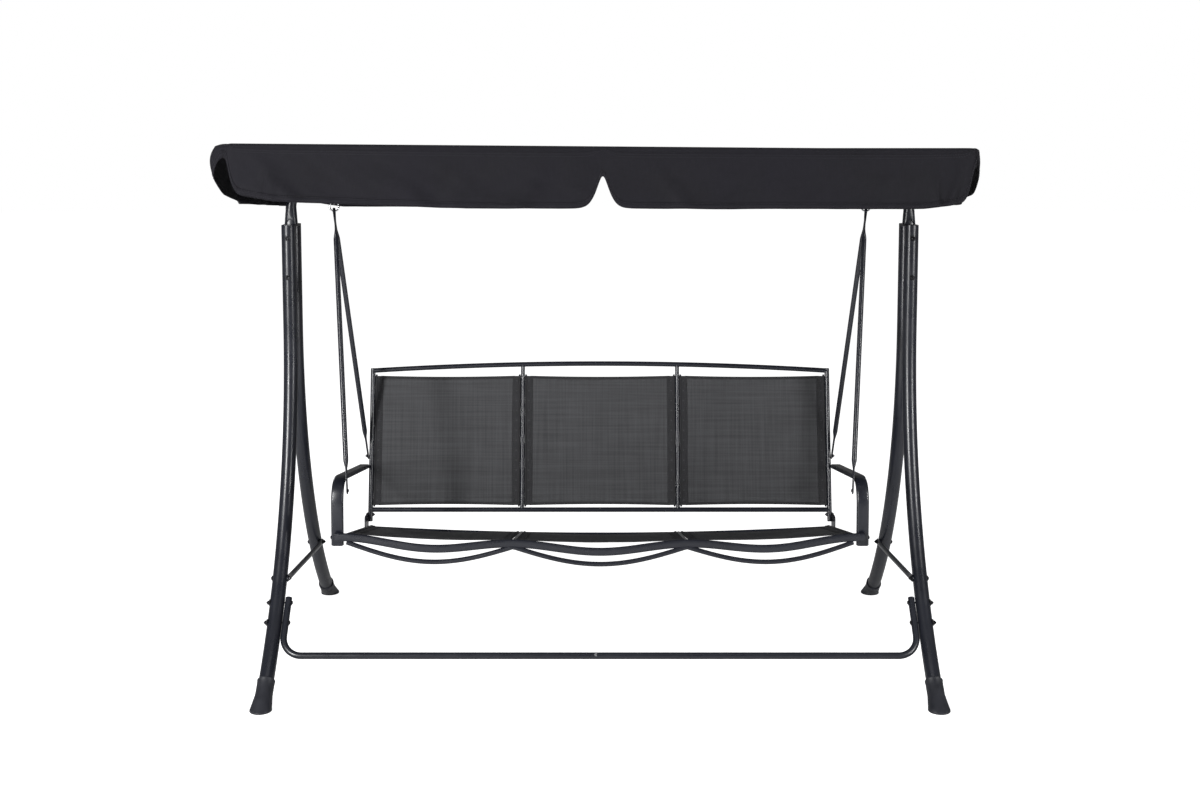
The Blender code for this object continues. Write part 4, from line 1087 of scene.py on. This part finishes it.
# ---- Canopy -------------------------------------------------------------------------------------
# Soft folds in the valance: (side, place at the top, place at the hem, half width, depth, where it starts).
FOLDS = (
    ("front", -0.965, -0.925, 0.016, 0.010, 0.35), ("front", -1.010, -0.870, 0.045, 0.008, 0.15),
    ("front", -0.620, -0.520, 0.060, 0.006, 0.40), ("front", -0.330, -0.420, 0.050, 0.006, 0.45),
    ("front", -0.120, -0.230, 0.055, 0.009, 0.25), ("front", 0.110, 0.240, 0.050, 0.007, 0.30),
    ("front", 0.420, 0.350, 0.060, 0.005, 0.45), ("front", 0.830, 0.780, 0.035, 0.007, 0.40),
    ("front", 0.948, 0.955, 0.018, 0.009, 0.35), ("front", 1.045, 0.990, 0.024, 0.010, 0.30),
    ("rear", -0.700, -0.610, 0.060, 0.008, 0.30), ("rear", 0.350, 0.480, 0.060, 0.008, 0.30),
    ("rear", 0.900, 0.850, 0.040, 0.008, 0.40), ("left", -0.380, -0.300, 0.045, 0.008, 0.30),
    ("left", 0.180, 0.260, 0.050, 0.008, 0.30), ("right", -0.250, -0.330, 0.050, 0.008, 0.30),
    ("right", 0.330, 0.270, 0.045, 0.008, 0.30),
)


def stations(half, fine_middle):
    """Places along one side, closer together at the corners, and at the middle where it is notched."""
    corner, middle = 0.13, 0.075 if fine_middle else 0.0
    found = []
    for low, high, pitch in ((0, middle, 0.0032), (middle, half - corner, 0.015), (half - corner, half, 0.0055)):
        count = max(1, round((high - low) / pitch)) if high > low else 0
        found += [low + (high - low) * i / count for i in range(count)]
    found.append(half)
    return [-x for x in found[:0:-1]] + found


def rounded(x, y):
    """Moves a point of the roof's rectangle so that the corners are round."""
    inner = [half - COVER_CORNER for half in COVER_HALF]
    a, b = (abs(x) - inner[0]) / COVER_CORNER, (abs(y) - inner[1]) / COVER_CORNER
    if a <= 0 or b <= 0:
        return x, y
    round_a, round_b = a * math.sqrt(1 - b * b / 2), b * math.sqrt(1 - a * a / 2)
    return (math.copysign(inner[0] + round_a * COVER_CORNER, x),
            math.copysign(inner[1] + round_b * COVER_CORNER, y))


def roof_rise(x, y):
    """Height of the roof above its plane: slack between the ribs, and puffed along the front edge."""
    edge = min(COVER_HALF[0] - abs(x), COVER_HALF[1] - abs(y))
    fraction = abs(x) / CANOPY_RIB_X
    if fraction < 1:
        bay = 4 * fraction * (1 - fraction)
        sag = 0.013 * bay * (1 - (y / COVER_HALF[1]) ** 2)
    else:
        sag = 0.002 * (1 - (y / COVER_HALF[1]) ** 2)
    puff = max(0.0, 0.0050 - 0.0085 * x / COVER_HALF[0]) * math.exp(-max(edge, 0.0) / 0.09)
    ripple = 0.0016 * noise.noise(Vector((x * 4.0, y * 5.0, 3.0))) * min(1.0, max(edge, 0.0) / 0.08)
    return puff - sag + abs(ripple)


NOTCH_X = 0.008


class Column:
    """One vertical line of the valance, under a point of the roof's edge."""

    def __init__(self, x, y):
        self.x, self.y = rounded(x, y)
        inner = [half - COVER_CORNER for half in COVER_HALF]
        reach = Vector((max(0.0, abs(self.x) - inner[0]), max(0.0, abs(self.y) - inner[1])))
        if abs(x) < inner[0]:
            reach.x = 0.0
        if abs(y) < inner[1]:
            reach.y = 0.0
        reach.normalize()
        self.out = Vector((math.copysign(reach.x, x), math.copysign(reach.y, y), 0))
        self.on_x = abs(abs(x) - COVER_HALF[0]) < 1e-6      # on the left or right side
        if self.on_x and abs(abs(y) - COVER_HALF[1]) > 1e-6 or self.on_x and reach.x > reach.y:
            self.side, self.place = ("left" if x < 0 else "right"), y
            self.corner_gap = COVER_HALF[1] - abs(y)
        else:
            self.side, self.place = ("front" if y < 0 else "rear"), x
            self.corner_gap = COVER_HALF[0] - abs(x)
        self.drop = self.hem_drop()

    def hem_drop(self):
        gap = math.hypot(self.corner_gap, 0.006) - 0.006
        corner = 0.098 * math.exp(-(gap / 0.026) ** 2)
        if self.side in ("front", "rear"):
            corner += 0.022 * max(0.0, 1 - gap / 0.15)
        else:
            corner += 0.034 * max(0.0, 1 - gap / 0.25)
        drop = COVER_DROP - corner
        if self.side == "front":
            u = self.place / COVER_HALF[0]
            drop += 0.014 - 0.024 * max(0.0, -u - 0.35) / 0.65
        for side, height, width in (("front", 0.092, 0.0225), ("rear", 0.112, 0.036)):
            if self.side == side:
                notch = math.hypot(self.place - NOTCH_X, 0.004) - 0.004
                drop -= height * math.exp(-(notch / width) ** 1.35)
        drop += 0.0016 * noise.noise(Vector((self.x * 7, self.y * 7, 0)))
        return drop

    def flare(self, t):
        """How far the fabric stands out from the roof's edge, a share t of the way down."""
        level = t * self.drop / COVER_DROP
        if self.side in ("front", "rear"):
            out = 0.012 * level
        else:
            out = -0.012 * level
            bulge = math.sin(math.pi * min(1.0, level) ** 0.65) * min(1.0, self.corner_gap / 0.03)
            if self.side == "left":
                out += (0.042 if self.place < 0 else 0.020) * bulge
            else:
                out += 0.012 * bulge
        fade = min(1.0, self.corner_gap / 0.10)
        seed = {"front": 1.0, "rear": 2.0, "left": 3.0, "right": 4.0}[self.side]
        slow = noise.noise(Vector((self.place * 3.1, level * 0.8, seed)))
        quick = noise.noise(Vector((self.place * 8.5, level * 1.6, seed + 9)))
        crease = noise.noise(Vector((self.place * 19 + level * 5 * math.copysign(1, self.place), level * 2, seed + 4)))
        out += fade * level * (0.020 * slow + 0.012 * quick + 0.005 * crease)
        for side, top, hem, width, depth, start in FOLDS:
            if side != self.side:
                continue
            run = max(0.0, (level - start) / (1 - start))
            centre = top + (hem - top) * level
            out += 2.2 * depth * run * math.exp(-((self.place - centre) / (0.6 * width)) ** 2)
        return out

    def point(self, t, lift=0.0):
        """A point on the fabric: t goes from the roof's edge, 0, to the hem, 1."""
        shoulder = 0.010
        length = t * self.drop
        if length < shoulder * 1.57:
            angle = length / shoulder
            inset, down = shoulder * (1 - math.sin(angle)), shoulder * (1 - math.cos(angle))
        else:
            inset, down = 0.0, shoulder + length - shoulder * 1.57
        out = self.flare(t) - inset + lift
        rise = roof_rise(self.x, self.y) * (1 - t * 0.8)
        return Vector((self.x + self.out.x * out, self.y + self.out.y * out,
                       CANOPY_PIVOT_Z + ROOF_LIFT - down + rise))


def tilted(point):
    """Turns a point of the level canopy into its resting tilt."""
    pivot = Vector((0, 0, CANOPY_PIVOT_Z))
    return Matrix.Rotation(-CANOPY_TILT, 3, "X") @ (point - pivot) + pivot


def valance_columns(xs, ys):
    """Columns all the way round, anticlockwise from the front left corner."""
    hx, hy = COVER_HALF
    rim = [(x, -hy) for x in xs[:-1]] + [(hx, y) for y in ys[:-1]]
    rim += [(x, hy) for x in xs[:0:-1]] + [(-hx, y) for y in ys[:0:-1]]
    return [Column(x, y) for x, y in rim]


def make_canopy():
    xs, ys = stations(COVER_HALF[0], True), stations(COVER_HALF[1], False)
    columns = valance_columns(xs, ys)
    shape = Shape()
    shoulder = 0.010
    shrink = [1 - shoulder / half for half in COVER_HALF]
    rows = []
    for y in ys:
        row = []
        for x in xs:
            px, py = rounded(x, y)
            edge = x in (xs[0], xs[-1]) or y in (ys[0], ys[-1])
            if edge:
                column = Column(x, y)
                row.append(tilted(column.point(0)))
            else:
                height = CANOPY_PIVOT_Z + ROOF_LIFT + roof_rise(px, py)
                row.append(tilted(Vector((px * shrink[0], py * shrink[1], height))))
        rows.append(row)
    shape.grid(rows)
    wide = len(xs)
    rim = list(range(wide - 1))
    rim += [k * wide + wide - 1 for k in range(len(ys) - 1)]
    rim += [(len(ys) - 1) * wide + i for i in range(wide - 1, 0, -1)]
    rim += [k * wide for k in range(len(ys) - 1, 0, -1)]
    steps = [0.03, 0.06, 0.10] + [0.10 + 0.90 * k / 16 for k in range(1, 17)]
    upper = rim
    for t in steps:
        first = len(shape.points)
        shape.points += [tuple(tilted(column.point(t))) for column in columns]
        lower = list(range(first, first + len(columns)))
        for i in range(len(rim)):
            j = (i + 1) % len(rim)
            shape.faces.append((upper[j], upper[i], lower[i], lower[j]))
        upper = lower
    cover = piece("canopy_fabric", shape, "cover", "canopy", ["canopy_cover"], sharp=70, thick=FABRIC_THICK)

    band = Shape()
    ring_rows = []
    for share in (0.0, 0.5, 1.0):
        row = []
        for column in columns:
            t = 1 - HEM_BAND * (1 - share) / column.drop
            row.append(tilted(column.point(max(t, 0.3), 0.0011)))
        ring_rows.append(row + row[:1])
    band.grid(ring_rows[::-1])
    hem = piece("canopy_hem", band, "cover", "canopy", sharp=70, thick=0.0010)

    threads = Shape()
    seam = Shape()
    for rise, lift in ((HEM_BAND - 0.003, 0.0012), (0.006, 0.0012)):
        line = [tilted(c.point(max(1 - rise / c.drop, 0.3), lift)) for c in columns]
        add_stitches(threads, line + line[:1], outward)
    for t, lift in ((0.155, 0.0002), (0.195, 0.0002)):
        line = [tilted(c.point(t, lift)) for c in columns]
        add_stitches(threads, line + line[:1], outward)
    rings = []
    for column in columns:
        centre = tilted(column.point(0.125, 0.0002))
        rings.append([centre + column.out * a + Z_AXIS * b for a, b in circle(0.0013, 8)])
    seam.skin(rings, loop=True)
    stitching = piece("canopy_stitching", threads, "canopy_thread", "canopy")
    piping = piece("canopy_seam", seam, "cover", "canopy")


def outward(place):
    """Roughly the outward direction of the valance at a place."""
    gap_x, gap_y = COVER_HALF[0] - abs(place.x), COVER_HALF[1] - abs(place.y)
    if gap_x < gap_y:
        return Vector((math.copysign(1, place.x), 0, 0))
    return Vector((0, math.copysign(1, place.y), 0))


# ---- Assembly -----------------------------------------------------------------------------------
make_camera()
make_studio()
make_legs()
make_feet()
make_crossbars()
make_ties()
make_frame_bolts()
finish_frame_nodes()
make_seat_frame()
make_back_frame()
for hand_name, hand in LEFT_RIGHT:
    make_armrest(hand_name, hand)
    make_hangers(hand_name, hand)
    make_seat_bolts(hand_name, hand)
make_slings()
make_canopy()
